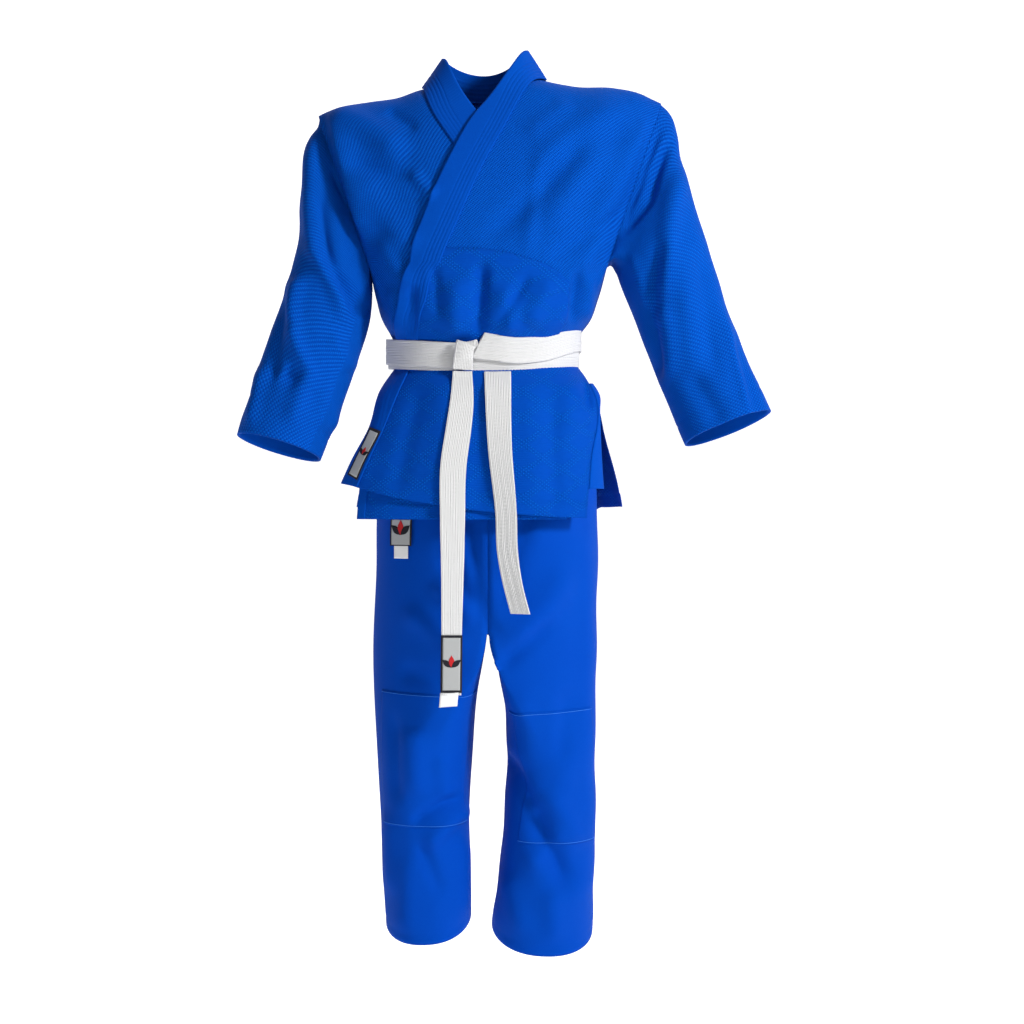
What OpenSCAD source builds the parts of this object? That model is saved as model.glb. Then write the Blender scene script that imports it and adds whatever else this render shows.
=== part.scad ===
// Wrap jacket, trousers and belt, standing as worn.
// Origin at the throat on the shoulder line, +Z up, the front facing -Y.

/* [Jacket body] */
// Height of the shoulder line above the origin, at the centre
ridge_z = 25; // [10:1:40]
// Height of a shoulder tip
tip_z = -18; // [-40:1:0]
// Half the width from shoulder tip to shoulder tip
shoulder_half_w = 262; // [215:1:320]
// Height of the chest seam, level with the armpits
chest_seam_z = -262; // [-300:1:-210]
// Half width of the jacket at the chest seam
chest_half_w = 178; // [160:1:200]
// Half depth of the jacket at the chest seam
chest_half_d = 122; // [105:1:145]
// Half width where the cloth blouses over the belt
blouse_half_w = 152; // [140:1:175]
// Half depth where the cloth blouses over the belt
blouse_half_d = 116; // [104:1:135]
// Half width of the jacket under the belt
waist_half_w = 127; // [120:1:138]
// Half depth of the jacket under the belt
waist_half_d = 95; // [90:1:104]
// Height of the line just under the belt, where the skirt begins
skirt_top_z = -428; // [-450:1:-410]
// Length of the skirt below that line
skirt_len = 200; // [160:1:240]
// Half width of the skirt at its hem
skirt_half_w = 176; // [168:1:200]
// Half depth of the skirt at its hem
skirt_half_d = 130; // [126:1:150]
// Thickness of one layer of jacket cloth
cloth_t = 1.8; // [1.2:0.1:2]

/* [Lapels] */
// Thickness of a lapel's outer cover
cover_t = 1.5; // [1:0.1:1.6]
// Thickness of the stiff core inside a lapel
core_t = 1; // [0.6:0.1:1.1]
// Height that the collar stands above the shoulder line
collar_rise = 40; // [25:1:50]
// Distance from the neck's centre to the foot of the collar at the back
nape_d = 52; // [46:1:60]

/* [Sleeves] */
// Length of a sleeve from the middle of the armhole to the middle of the cuff
sleeve_len = 402; // [320:1:480]
// Lean of the left sleeve away from the body
left_lean = 21; // [17:1:40]
// Lean of the right sleeve away from the body
right_lean = 14; // [12:1:40]
// Lean of both sleeves towards the front
sleeve_forward = 12; // [0:1:20]
// Half width of a cuff, seen from the front
cuff_half_w = 70; // [55:1:85]
// Half depth of a cuff
cuff_half_d = 52; // [40:1:65]
// Length of the facing inside a cuff
cuff_facing = 30; // [20:1:50]

/* [Belt] */
// Width of the belt
belt_w = 40; // [35:1:42]
// Thickness of the belt
belt_t = 2.5; // [2:0.1:3]
// Length of the long tail below the knot
long_tail_len = 478; // [380:1:560]
// Length of the short tail below the knot
short_tail_len = 358; // [280:1:440]

/* [Trousers] */
// Height of the seam under the waistband
trouser_top_z = -398; // [-410:1:-390]
// Height of the crotch
crotch_z = -812; // [-900:1:-760]
// Length of a leg from the crotch to the hem
leg_len = 474; // [380:1:560]
// Half width of the trousers at the waist
trouser_waist_w = 111; // [104:1:114]
// Half depth of the trousers at the waist
trouser_waist_d = 79; // [72:1:82]
// Half width of the trousers at the seat
seat_half_w = 166; // [150:1:172]
// Half depth of the trousers at the seat
seat_half_d = 116; // [104:1:120]
// Half width of a leg at its hem
leg_hem_w = 70; // [60:1:76]
// Half depth of a leg at its hem
leg_hem_d = 86; // [70:1:100]
// Thickness of the trouser cloth
drill_t = 1.2; // [0.8:0.1:1.6]
// Height of a knee patch
knee_patch_len = 200; // [150:1:240]

/* [Hidden] */

// Clearance between layers and at seams
layer_gap = 0.8;
seam_gap = 0.4;

// Layers, measured outwards from the inner face of the jacket's cloth
under_lapel_at = cloth_t + layer_gap;
lapel_t = core_t + cover_t;
top_front_at = under_lapel_at + lapel_t + layer_gap;
top_lapel_at = top_front_at + cloth_t + layer_gap;
belt_inner_at = top_lapel_at + lapel_t + 2 * layer_gap;
belt_outer_at = belt_inner_at + belt_t + layer_gap;
belt_outside = belt_outer_at + belt_t;

// Roundness of the body's section, and the angle where its sides turn flat
roundness = 2.4;
flat_from = 60;
flat_share = pow(sin(flat_from), 2 / roundness);

// Levels of the jacket: 1 at the shoulder line, 0 at the chest seam, -1 under the belt, -2 at the hem
waist_len = chest_seam_z - skirt_top_z;
belt_bottom_z = skirt_top_z + 8;
function waist_level(z) = (z - chest_seam_z) / waist_len;

half_w_levels = [
    [-2, skirt_half_w], [-1.35, skirt_half_w - 13], [-1.15, waist_half_w + 22], [-1, waist_half_w],
    [-0.66, waist_half_w], [-0.5, blouse_half_w], [0, chest_half_w],
    [0.5, 2 * chest_half_w - blouse_half_w]
];
half_d_levels = [
    [-2, skirt_half_d], [-1.35, skirt_half_d - 9], [-1.15, waist_half_d + 15], [-1, waist_half_d],
    [-0.66, waist_half_d], [-0.5, blouse_half_d], [0, chest_half_d],
    [0.5, 2 * chest_half_d - blouse_half_d]
];
flatness_levels = [[-0.6, 0], [0, 1]];

// The mean of a table over a short stretch, which rounds its corners
round_by = 0.07;
function rounded(v, table) =
    (lookup(v - round_by, table) + lookup(v - round_by / 2, table) + lookup(v, table)
    + lookup(v + round_by / 2, table) + lookup(v + round_by, table)) / 5;
function half_w(v) = v > 0
    ? chest_half_w + (shoulder_half_w - chest_half_w) * sin(90 * v)
    : rounded(v, half_w_levels);
function half_d(v) = v > 0 ? chest_half_d * cos(90 * v) : rounded(v, half_d_levels);
function flatness(v) = lookup(v, flatness_levels);
function mix(a, b, t) = a + (b - a) * t;
function clamp01(t) = min(1, max(0, t));
function ease(t) = let (c = clamp01(t)) c * c * (3 - 2 * c);
function unit(p) = p / norm(p);

// Share of the half width reached at an angle, 0 in front, 90 on the left side, 180 behind
function width_share(angle, flat) =
    let (s = sin(angle), a = pow(abs(s), 2 / roundness))
    sign(s) * mix(a, min(1, a / flat_share), flat);
function depth_share(angle) = let (c = cos(angle)) sign(c) * pow(abs(c), 2 / roundness);
function angle_of(share, flat) =
    let (a = min(1, abs(share) / mix(1, 1 / flat_share, flat)))
    sign(share) * asin(pow(a, roundness / 2));

// A point on the jacket's inner face, at an angle and a level
function jacket(angle, v) =
    let (share = width_share(angle, flatness(v)))
    [
        half_w(v) * share,
        -half_d(v) * depth_share(angle),
        v > 0
            ? mix(chest_seam_z, mix(ridge_z, tip_z, abs(share)), sin(90 * v))
            : v > -1 ? chest_seam_z + v * waist_len : skirt_top_z + (v + 1) * skirt_len
    ];
function jacket_normal(angle, v) =
    let (around = jacket(angle + 1, v) - jacket(angle - 1, v), up = jacket(angle, v + 0.01) - jacket(angle, v - 0.01))
    unit(cross(around, up));
function jacket_out(angle, v, out) = jacket(angle, v) + out * jacket_normal(angle, v);

// A closed sheet from a grid of points on its inner and outer face; round joins its last column to its first
module sheet(inner, outer, round = false) {
    rows = len(inner);
    cols = len(inner[0]);
    cells = round ? cols : cols - 1;
    shift = rows * cols;
    function at(r, c) = r * cols + c % cols;
    skin = [
        for (r = [0 : rows - 2]) for (c = [0 : cells - 1])
            let (a = at(r, c), b = at(r, c + 1), d = at(r + 1, c), e = at(r + 1, c + 1))
            each [
                [a + shift, e + shift, b + shift], [a + shift, d + shift, e + shift],
                [a, b, e], [a, e, d]
            ]
    ];
    ends = [
        for (c = [0 : cells - 1])
            let (a = at(0, c), b = at(0, c + 1), d = at(rows - 1, c), e = at(rows - 1, c + 1))
            each [
                [a, b + shift, b], [a, a + shift, b + shift],
                [d, e, e + shift], [d, e + shift, d + shift]
            ]
    ];
    sides = round ? [] : [
        for (r = [0 : rows - 2])
            let (a = at(r, 0), d = at(r + 1, 0), b = at(r, cols - 1), e = at(r + 1, cols - 1))
            each [
                [a, d, d + shift], [a, d + shift, a + shift],
                [b, e + shift, e], [b, b + shift, e + shift]
            ]
    ];
    polyhedron(concat([each for (row = inner) row], [each for (row = outer) row]), concat(skin, ends, sides));
}

// A sheet of jacket cloth over rows of [level, [angles]], between two distances out
module jacket_sheet(rows, near, far) {
    sheet(
        [for (row = rows) [for (a = row[1]) jacket_out(a, row[0], near(a, row[0]))]],
        [for (row = rows) [for (a = row[1]) jacket_out(a, row[0], far(a, row[0]))]]
    );
}

// Shares of the half width at a lapel's free edge and at its sewn edge, by level
free_edge = [
    [-2, -0.95], [-1, -0.93], [-0.65, -0.93], [-0.3, -0.79], [0.04, -0.605],
    [0.22, -0.41], [0.59, -0.065], [0.66, 0.02], [0.8, 0.14], [1, 0.229]
];
sewn_edge = [
    [-2, -0.74], [-1, -0.72], [-0.65, -0.72], [-0.35, -0.56], [0, -0.388],
    [0.14, -0.214], [0.31, -0.037], [0.48, 0.094], [1, 0.336]
];
neck_share = lookup(1, sewn_edge);
seam_allowance = 0.05;
function free_angle(v) = angle_of(lookup(v, free_edge), flatness(v));
function sewn_angle(v) = angle_of(lookup(v, sewn_edge), flatness(v));
function front_edge_angle(v) =
    angle_of(lookup(v, sewn_edge) - seam_allowance * (1 - ease((v - 0.5) / 0.5)), flatness(v));

// The top front lies over the under lapel near the middle and meets the back at the side and the shoulder
fade_angle = 20;
clear_angle = 9;
side_edge = 90;
function top_lift(angle, v) =
    let (from = min(-free_angle(v) + clear_angle, side_edge - fade_angle / 2))
    top_front_at * (1 - ease((v - 0.7) / 0.28)) * (1 - ease((angle - from) / (side_edge - 2 - from)));
function upper_lift(angle, v) =
    let (from = min(-free_angle(v) + clear_angle, flat_from - fade_angle))
    top_front_at * (1 - ease((v - 0.7) / 0.28)) * (1 - ease((angle - from) / (flat_from - 2 - from)));
function lift(angle, v) = v >= 0 ? upper_lift(angle, v) : mix(
    top_lift(angle, v), upper_lift(angle, 0), ease((v + 0.25) / 0.25));

// Stations along a front panel's width: from its edge to the flat side, then round to the side seam
front_cols = 12;
side_cols = 3;
function front_angles(from, upper) = concat(
    [for (k = [0 : front_cols]) mix(from, flat_from, k / front_cols)],
    upper ? [] : [for (k = [1 : side_cols]) mix(flat_from, side_edge, k / side_cols)]
);
upper_levels = [0, 0.1, 0.2, 0.3, 0.4, 0.5, 0.6, 0.7, 0.78, 0.86, 0.93, 1];
waist_levels = [-1, -0.93, -0.8, -0.7, -0.63, -0.56, -0.49, -0.42, -0.3, -0.15, 0];
skirt_levels = [-2, -1.8, -1.58, -1.35, -1.25, -1.15, -1.07, -1.015];

module front_upper(top) {
    jacket_sheet(
        [for (v = upper_levels) [v, front_angles(front_edge_angle(v), true)]],
        function (a, v) top ? lift(a, v) : 0,
        function (a, v) (top ? lift(a, v) : 0) + cloth_t
    );
}

module front_waist(top) {
    jacket_sheet(
        [for (v = waist_levels) [v, front_angles(front_edge_angle(v), false)]],
        function (a, v) top ? lift(a, v) : 0,
        function (a, v) (top ? lift(a, v) : 0) + cloth_t
    );
}

// The plain band between a skirt front and the side vent
band_from = 76;
vent_angle = 86;
module front_skirt(top) {
    jacket_sheet(
        [for (v = skirt_levels) [v, [for (k = [0 : 11]) mix(front_edge_angle(v), band_from, k / 11)]]],
        function (a, v) top ? lift(a, v) : 0,
        function (a, v) (top ? lift(a, v) : 0) + cloth_t
    );
}

module vent_band(top) {
    jacket_sheet(
        [for (v = skirt_levels) [v, [for (k = [0 : 1]) mix(band_from, vent_angle, k)]]],
        function (a, v) top ? lift(a, v) : 0,
        function (a, v) (top ? lift(a, v) : 0) + cloth_t
    );
}

// Back panels
back_cols = 12;
nape_share = nape_d / chest_half_d;
function back_angles(edge) = [for (k = [0 : back_cols]) mix(edge, 360 - edge, k / back_cols)];

function scoop_level(share) = abs(share) < neck_share
    ? acos(nape_share * sqrt(1 - pow(share / neck_share, 2))) / 90
    : 1;
back_shares = concat(
    [for (k = [0 : 4]) mix(1, neck_share, k / 4)],
    [for (k = [1 : 7]) neck_share * cos(180 * k / 8)],
    [for (k = [0 : 4]) -mix(neck_share, 1, k / 4)]
);
function back_angle(share) = 180 - angle_of(share, 1);
function back_point(share, part, out) =
    let (v = scoop_level(share) * part) jacket_out(back_angle(share), v, out);

module jacket_back_upper() {
    parts = [0, 0.12, 0.26, 0.4, 0.55, 0.68, 0.8, 0.9, 1];
    color("mediumblue") sheet(
        [for (part = parts) [for (share = back_shares) back_point(share, part, 0)]],
        [for (part = parts) [for (share = back_shares) back_point(share, part, cloth_t)]]
    );
}

module jacket_back_waist() {
    color("mediumblue") jacket_sheet(
        [for (v = waist_levels) [v, concat(
            [for (k = [0 : side_cols - 1]) mix(side_edge, 180 - flat_from, k / side_cols)],
            [for (share = back_shares) back_angle(share)],
            [for (k = [1 : side_cols]) mix(180 + flat_from, 360 - side_edge, k / side_cols)]
        )]],
        function (a, v) 0, function (a, v) cloth_t
    );
}

module back_skirt() {
    color("mediumblue") jacket_sheet(
        [for (v = skirt_levels) [v, back_angles(side_edge + 1)]],
        function (a, v) 0, function (a, v) cloth_t
    );
}

// Small patch outside the back skirt at the top of a side vent
module vent_patch() {
    jacket_sheet(
        [for (v = [-1.14, -1.04]) [v, [for (a = [92, 99]) a]]],
        function (a, v) cloth_t + layer_gap, function (a, v) cloth_t + layer_gap + 1
    );
}

// The yoke inside the shoulders, in one piece over the ridge on each side of the neck
lining_at = -2.4;
lining_t = 1;
module shoulder_lining() {
    parts = [0.55, 0.68, 0.8, 0.9, 1];
    color("navy") sheet(
        [for (part = parts) [for (share = back_shares) back_point(share * 0.93, part - 0.04, lining_at - lining_t)]],
        [for (part = parts) [for (share = back_shares) back_point(share * 0.93, part - 0.04, lining_at)]]
    );
}

// Lapels: a point across the band (0 sewn edge, 1 free edge) at a level
function collar_lift(v) = collar_rise * ease((min(v, 2 - v) - 0.6) / 0.4);
function lapel_point(across, v, at) =
    jacket_out(mix(sewn_angle(v), free_angle(v), across), v, at) + [0, 0, collar_lift(v) * across];
function lapel_normal(across, v, at) =
    let (
        along = lapel_point(across, v + 0.01, at) - lapel_point(across, v - 0.01, at),
        over = lapel_point(1, v, at) - lapel_point(0, v, at)
    )
    unit(cross(along, over));
function lapel_at(across, v, at, out) = lapel_point(across, v, at) + out * lapel_normal(across, v, at);
function lapel_base(top, v) = top
    ? top_lapel_at - (top_lapel_at - under_lapel_at) * ease((v - 0.7) / 0.28)
    : under_lapel_at;

lapel_levels = concat([for (k = [0 : len(waist_levels) - 2]) waist_levels[k]], upper_levels);
module lapel_band(levels, top, near, far, from, to) {
    acrosses = [for (k = [0 : 3]) mix(to, from, k / 3)];
    sheet(
        [for (v = levels) [for (c = acrosses) lapel_at(c, v, lapel_base(top, v), near)]],
        [for (v = levels) [for (c = acrosses) lapel_at(c, v, lapel_base(top, v), far)]]
    );
}

module lapel_cover(levels, top) { lapel_band(levels, top, core_t, lapel_t, 0, 1); }
module lapel_core(levels, top) { lapel_band(levels, top, 0, core_t, 0, 1); }

// The collar behind the neck, from shoulder line to shoulder line
function nape_point(across, turn) =
    let (side = lapel_point(across, 1, under_lapel_at), back = mix(nape_d + 4, nape_d - 3, across))
    [
        side[0] * sin(turn), -back * cos(turn),
        side[2] - 8 * pow(cos(turn), 2) * (1 - across) - 2 * pow(cos(turn), 2) * across
    ];
function nape_normal(across, turn) =
    unit(cross(
        nape_point(across, turn + 1) - nape_point(across, turn - 1),
        nape_point(1, turn) - nape_point(0, turn)
    ));
module nape_band(near, far, from, to) {
    acrosses = [for (k = [0 : 3]) mix(from, to, k / 3)];
    turns = [for (k = [0 : 16]) mix(90, 270, k / 16)];
    sheet(
        [for (c = acrosses) [for (t = turns) nape_point(c, t) + near * nape_normal(c, t)]],
        [for (c = acrosses) [for (t = turns) nape_point(c, t) + far * nape_normal(c, t)]]
    );
}

module left_lapel() { color("royalblue") lapel_cover(lapel_levels, true); }
module right_lapel() { color("royalblue") mirror([1, 0, 0]) lapel_cover(lapel_levels, false); }
module collar_neck() { color("royalblue") nape_band(core_t, lapel_t, 0, 1); }
module left_lapel_core() { color("white") lapel_core(lapel_levels, true); }
module right_lapel_core() { color("white") mirror([1, 0, 0]) lapel_core(lapel_levels, false); }
module collar_core() { color("white") nape_band(0, core_t, 0, 1); }
module left_lapel_end() { color("royalblue") lapel_band(skirt_levels, true, 0, lapel_t, 0, 1); }
module right_lapel_end() {
    color("royalblue") mirror([1, 0, 0]) lapel_band(skirt_levels, false, 0, lapel_t, 0, 1);
}
module lapel_label() {
    color("silver") lapel_band([-1.75, -1.6, -1.45], true, lapel_t + 0.3, lapel_t + 0.9, 0.35, 0.95);
}

module left_front_upper() { color("blue") front_upper(true); }
module right_front_upper() { color("blue") mirror([1, 0, 0]) front_upper(false); }
module left_front_waist() { color("mediumblue") front_waist(true); }
module right_front_waist() { color("mediumblue") mirror([1, 0, 0]) front_waist(false); }
module left_front_skirt() { color("mediumblue") front_skirt(true); }
module right_front_skirt() { color("mediumblue") mirror([1, 0, 0]) front_skirt(false); }
module left_vent_band() { color("royalblue") vent_band(true); }
module right_vent_band() { color("royalblue") mirror([1, 0, 0]) vent_band(false); }
module left_vent_patch() { color("navy") vent_patch(); }
module right_vent_patch() { color("navy") mirror([1, 0, 0]) vent_patch(); }

// Sleeves: rings from the armhole, which lies in one plane through the shoulder tip, to the cuff
arch_cols = 16;
chord_cols = 6;
ring_cols = arch_cols + chord_cols;
arm_out = cloth_t + seam_gap;
arm_top = [shoulder_half_w + arm_out, 0, tip_z];
arm_low = [chest_half_w + arm_out, 0, chest_seam_z];
arm_mid = (arm_top + arm_low) / 2;
arm_half_d = chest_half_d * depth_share(flat_from);
function armhole(k) = k <= arch_cols
    ? let (turn = 180 * k / arch_cols) mix(arm_low, arm_top, sin(turn)) + [0, -arm_half_d * cos(turn), 0]
    : arm_low + [0, mix(arm_half_d, -arm_half_d, (k - arch_cols) / chord_cols), 0];
function sleeve_way(lean) = unit([tan(lean), -tan(sleeve_forward), -1]);
function cuff(k, lean) =
    let (
        turn = k <= arch_cols ? mix(-50, 230, k / arch_cols) : mix(230, 310, (k - arch_cols) / chord_cols),
        way = sleeve_way(lean), ahead = unit(cross(way, [1, 0, 0])), out = cross(ahead, way)
    )
    arm_mid + sleeve_len * way + out * cuff_half_w * sin(turn) + ahead * cuff_half_d * cos(turn);
function sleeve_point(k, t, lean) =
    mix(armhole(k), cuff(k, lean), t);
function sleeve_mid(t, lean) =
    arm_mid + t * sleeve_len * sleeve_way(lean);
function sleeve_in(k, t, lean, in) =
    let (p = sleeve_point(k, t, lean)) p + in * unit(sleeve_mid(t, lean) - p);
seam_t = seam_gap / sleeve_len;
cuff_t = 1 - cuff_facing / sleeve_len;
function sleeve_rows(lean, ts, in) = [for (t = ts) [for (k = [0 : ring_cols - 1]) sleeve_in(k, t, lean, in)]];

module sleeve(lean) {
    ts = [1, 0.86, 0.7, 0.55, 0.4, 0.25, 0.12, seam_t * 2];
    sheet(sleeve_rows(lean, ts, cloth_t), sleeve_rows(lean, ts, 0), true);
}

module cuff_facing_ring(lean) {
    ts = [1, cuff_t];
    near = cloth_t + layer_gap;
    sheet(sleeve_rows(lean, ts, near + 1), sleeve_rows(lean, ts, near), true);
}

module gusset(lean) {
    near = cloth_t + layer_gap;
    cols = [arch_cols + 1 : ring_cols - 1];
    ts = [0.2, 0.12, 0.05];
    sheet(
        [for (t = ts) [for (k = cols) sleeve_in(k, t, lean, near + 1)]],
        [for (t = ts) [for (k = cols) sleeve_in(k, t, lean, near)]]
    );
}

module left_sleeve() { color("blue") sleeve(left_lean); }
module left_cuff_facing() { color("royalblue") cuff_facing_ring(left_lean); }
module left_gusset() { color("navy") gusset(left_lean); }
module right_sleeve() { color("blue") mirror([1, 0, 0]) sleeve(right_lean); }
module right_cuff_facing() { color("royalblue") mirror([1, 0, 0]) cuff_facing_ring(right_lean); }
module right_gusset() { color("navy") mirror([1, 0, 0]) gusset(right_lean); }

// Belt wraps round the waist
belt_cols = 32;
module belt_ring(top_z, at) {
    levels = [waist_level(top_z - belt_w), waist_level(top_z)];
    angles = [for (k = [0 : belt_cols - 1]) 360 * k / belt_cols];
    level = waist_level(belt_bottom_z + belt_w / 2);
    function flat_ring(z, out) =
        [for (a = angles) let (p = jacket_out(a, level, out)) [p[0], p[1], z]];
    sheet(
        [for (z = [top_z - belt_w, top_z]) flat_ring(z, at)],
        [for (z = [top_z - belt_w, top_z]) flat_ring(z, at + belt_t)],
        true
    );
}

belt_top_z = belt_bottom_z + belt_w;
module belt_wrap_inner() { color("white") belt_ring(belt_top_z, belt_inner_at); }
module belt_wrap_outer() { color("whitesmoke") belt_ring(belt_top_z + 4, belt_outer_at); }

// The knot, in front of the wraps: each strand is a flat strap
knot_y = -(waist_half_d + belt_outside + layer_gap);
strand_t = belt_t + 1;
knot_top_z = belt_top_z + 4 + layer_gap;
knot_low_z = belt_bottom_z + 1;
module side_profile(points, x, width) {
    translate([x, 0, 0]) rotate([90, 0, 90]) linear_extrude(width) polygon(points);
}

// The strand that rolls over the wraps and comes down in front
module belt_knot_over() {
    roll_y = knot_y + belt_t * 2 + layer_gap;
    color("white") side_profile([
        [roll_y, knot_top_z], [roll_y, knot_top_z + strand_t * 0.6], [roll_y - 3, knot_top_z + strand_t],
        [knot_y - strand_t * 2 + 2, knot_top_z + strand_t], [knot_y - strand_t * 2, knot_top_z],
        [knot_y - strand_t * 2, knot_low_z + 12], [knot_y - strand_t, knot_low_z],
        [knot_y, knot_low_z], [knot_y, knot_low_z + 2], [knot_y - strand_t, knot_low_z + 13],
        [knot_y - strand_t, knot_top_z - 2], [knot_y - strand_t + 2, knot_top_z]
    ], -belt_w, belt_w - 6);
}

// The strand that crosses the front with a folded corner at the top
module belt_knot_cross() {
    color("snow") translate([0, knot_y - strand_t * 2 - 0.3, 0]) rotate([90, 0, 0]) linear_extrude(strand_t)
        polygon([
            [-16, knot_low_z + 20], [-10, knot_low_z + 34], [7, knot_top_z + 3], [34, knot_top_z - 8],
            [38, knot_top_z - 20], [30, knot_low_z + 12]
        ]);
}

// The strand beneath, from which the short tail comes out
module belt_knot_under() {
    color("whitesmoke") translate([-5, knot_y - strand_t, knot_low_z])
        cube([belt_w + 1, strand_t, knot_top_z - knot_low_z - 3]);
}

// Tails: a strap that leaves the knot, follows the skirt out to its hem and then hangs straight down
tail_top_z = belt_bottom_z - 4;
tail_rows = 10;
function tail_back(z) = -(half_d(min(-1, -1 + (z - skirt_top_z) / skirt_len)) + belt_outside + layer_gap);
tail_hang = skirt_half_d + belt_outside + layer_gap;
module tail(top_x, low_x, length, width) {
    function row(t, out) =
        let (x = mix(top_x, low_x, t), z = tail_top_z - length * t, y = tail_back(z) - out)
        [[x - width / 2, y, z], [x + width / 2, y, z]];
    ts = [for (k = [tail_rows : -1 : 0]) k / tail_rows];
    sheet([for (t = ts) row(t, 0)], [for (t = ts) row(t, belt_t)]);
}

long_tail_x = [-28, -54];
short_tail_x = [16, 48];
label_len = 86;
tag_len = 26;
label_t = 0.6;
module belt_tail_long() { color("white") tail(long_tail_x[0], long_tail_x[1], long_tail_len, belt_w - 4); }
module belt_tail_short() { color("white") tail(short_tail_x[0], short_tail_x[1], short_tail_len, belt_w - 4); }
long_tail_low = tail_top_z - long_tail_len;
module belt_label() {
    color("silver") translate([
        long_tail_x[1] - belt_w / 2 + 4, -tail_hang - belt_t - label_t - 0.1, long_tail_low + 1
    ]) cube([belt_w - 6, label_t, label_len]);
}
module belt_size_tag() {
    color("white") translate([long_tail_x[1] - belt_w / 2 + 4, -tail_hang - belt_t, long_tail_low - tag_len])
        cube([belt_w - 9, label_t, tag_len - 0.3]);
}

// Trousers: the seat from the waist to the crotch, in two halves that meet at the middle
seat_len = trouser_top_z - crotch_z;
seat_w_levels = [[0, trouser_waist_w], [0.2, mix(trouser_waist_w, seat_half_w, 0.42)],
    [0.4, mix(trouser_waist_w, seat_half_w, 0.7)], [0.62, mix(trouser_waist_w, seat_half_w, 0.92)], [1, seat_half_w]];
seat_d_levels = [[0, trouser_waist_d], [0.2, mix(trouser_waist_d, seat_half_d, 0.45)],
    [0.4, mix(trouser_waist_d, seat_half_d, 0.8)], [0.62, seat_half_d], [1, seat_half_d]];
function seat(angle, t) = [
    lookup(t, seat_w_levels) * sin(angle), -lookup(t, seat_d_levels) * cos(angle), trouser_top_z - t * seat_len
];
function seat_in(angle, t, in) =
    let (p = seat(angle, t)) p - in * unit([p[0], p[1] * pow(seat_half_w / seat_half_d, 2), 0]);
module hip() {
    ts = [1 - seam_gap / seat_len, 0.8, 0.62, 0.4, 0.2, 0];
    angles = [for (k = [0 : 14]) 180 * k / 14];
    sheet(
        [for (t = ts) [for (a = angles) seat_in(a, t, drill_t)]],
        [for (t = ts) [for (a = angles) seat_in(a, t, 0)]]
    );
}

module trousers_left_hip() { color("blue") hip(); }
module trousers_right_hip() { color("blue") mirror([1, 0, 0]) hip(); }

waistband_len = 38;
waistband_t = 3;
module trousers_waistband() {
    angles = [for (k = [0 : 27]) 360 * k / 28];
    function ring(z, in) = [for (a = angles) let (p = seat_in(a, 0, in)) [p[0], p[1], z]];
    zs = [trouser_top_z + seam_gap, trouser_top_z + waistband_len];
    color("royalblue") sheet([for (z = zs) ring(z, waistband_t)], [for (z = zs) ring(z, 0)], true);
}

// The gusset bridges the two legs at the crotch
gusset_half_w = 34;
module crotch_gusset() {
    color("navy") translate([0, 0, crotch_z + 2]) linear_extrude(drill_t)
        polygon([[-gusset_half_w, 0], [0, -seat_half_d + 8], [gusset_half_w, 0], [0, seat_half_d - 8]]);
}

module seat_patch(from, to, high, low) {
    ts = [low, (low + high) / 2, high];
    angles = [for (k = [0 : 3]) mix(from, to, k / 3)];
    near = layer_gap * 2;
    sheet(
        [for (t = ts) [for (a = angles) seat_in(a, t, -near)]],
        [for (t = ts) [for (a = angles) seat_in(a, t, -near - label_t)]]
    );
}
module trousers_label() { color("silver") seat_patch(-62, -45, 0.58, 0.7); }
module trousers_size_tag() { color("white") seat_patch(-60, -48, 0.705, 0.75); }

// Legs: from half of the seat's section to an oval hem
leg_gap = 2.5;
leg_mid_x = 88;
function leg_ring(angle, t) =
    let (
        s = sin(angle), c = cos(angle), b = ease(t / 0.4),
        top_x = s > 0 ? mix(leg_gap, seat_half_w, s) : leg_gap,
        hem_w = mix(leg_hem_w + 4, leg_hem_w, t)
    )
    [
        mix(top_x, mix(92, leg_mid_x, t) + hem_w * s, b),
        -mix(seat_half_d, leg_hem_d, b) * c,
        crotch_z - leg_len * t
    ];
function leg_mid(t) = [mix(84, leg_mid_x, t), 0, crotch_z - leg_len * t];
function leg_in(angle, t, in) = let (p = leg_ring(angle, t)) p + in * unit(leg_mid(t) - p);
leg_cols = 24;
leg_rows = [1, 0.8, 0.6, 0.45, 0.36, 0.28, 0.2, 0.1, 0];
function leg_angle(k) = 360 * k / leg_cols;
module leg() {
    ks = [0 : leg_cols - 1];
    sheet(
        [for (t = leg_rows) [for (k = ks) leg_in(leg_angle(k), t, drill_t)]],
        [for (t = leg_rows) [for (k = ks) leg_in(leg_angle(k), t, 0)]],
        true
    );
}

module leg_facing() {
    ts = [1, 1 - 22 / leg_len];
    near = drill_t + 0.3;
    sheet(
        [for (t = ts) [for (k = [0 : leg_cols - 1]) leg_in(leg_angle(k), t, near + 0.8)]],
        [for (t = ts) [for (k = [0 : leg_cols - 1]) leg_in(leg_angle(k), t, near)]],
        true
    );
}

// Knee patches lie on the front of the legs
knee_from = 0.27;
module knee_patch() {
    ts = [for (k = [6 : -1 : 0]) knee_from + k / 6 * knee_patch_len / leg_len];
    near = 1.2;
    cols = [-4 : 5];
    sheet(
        [for (t = ts) [for (k = cols) leg_in(leg_angle(k), t, -near)]],
        [for (t = ts) [for (k = cols) leg_in(leg_angle(k), t, -near - drill_t)]]
    );
}

module left_leg() { color("blue") leg(); }
module left_knee_patch() { color("mediumblue") knee_patch(); }
module left_leg_facing() { color("royalblue") leg_facing(); }
module right_leg() { color("blue") mirror([1, 0, 0]) leg(); }
module right_knee_patch() { color("mediumblue") mirror([1, 0, 0]) knee_patch(); }
module right_leg_facing() { color("royalblue") mirror([1, 0, 0]) leg_facing(); }

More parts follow.
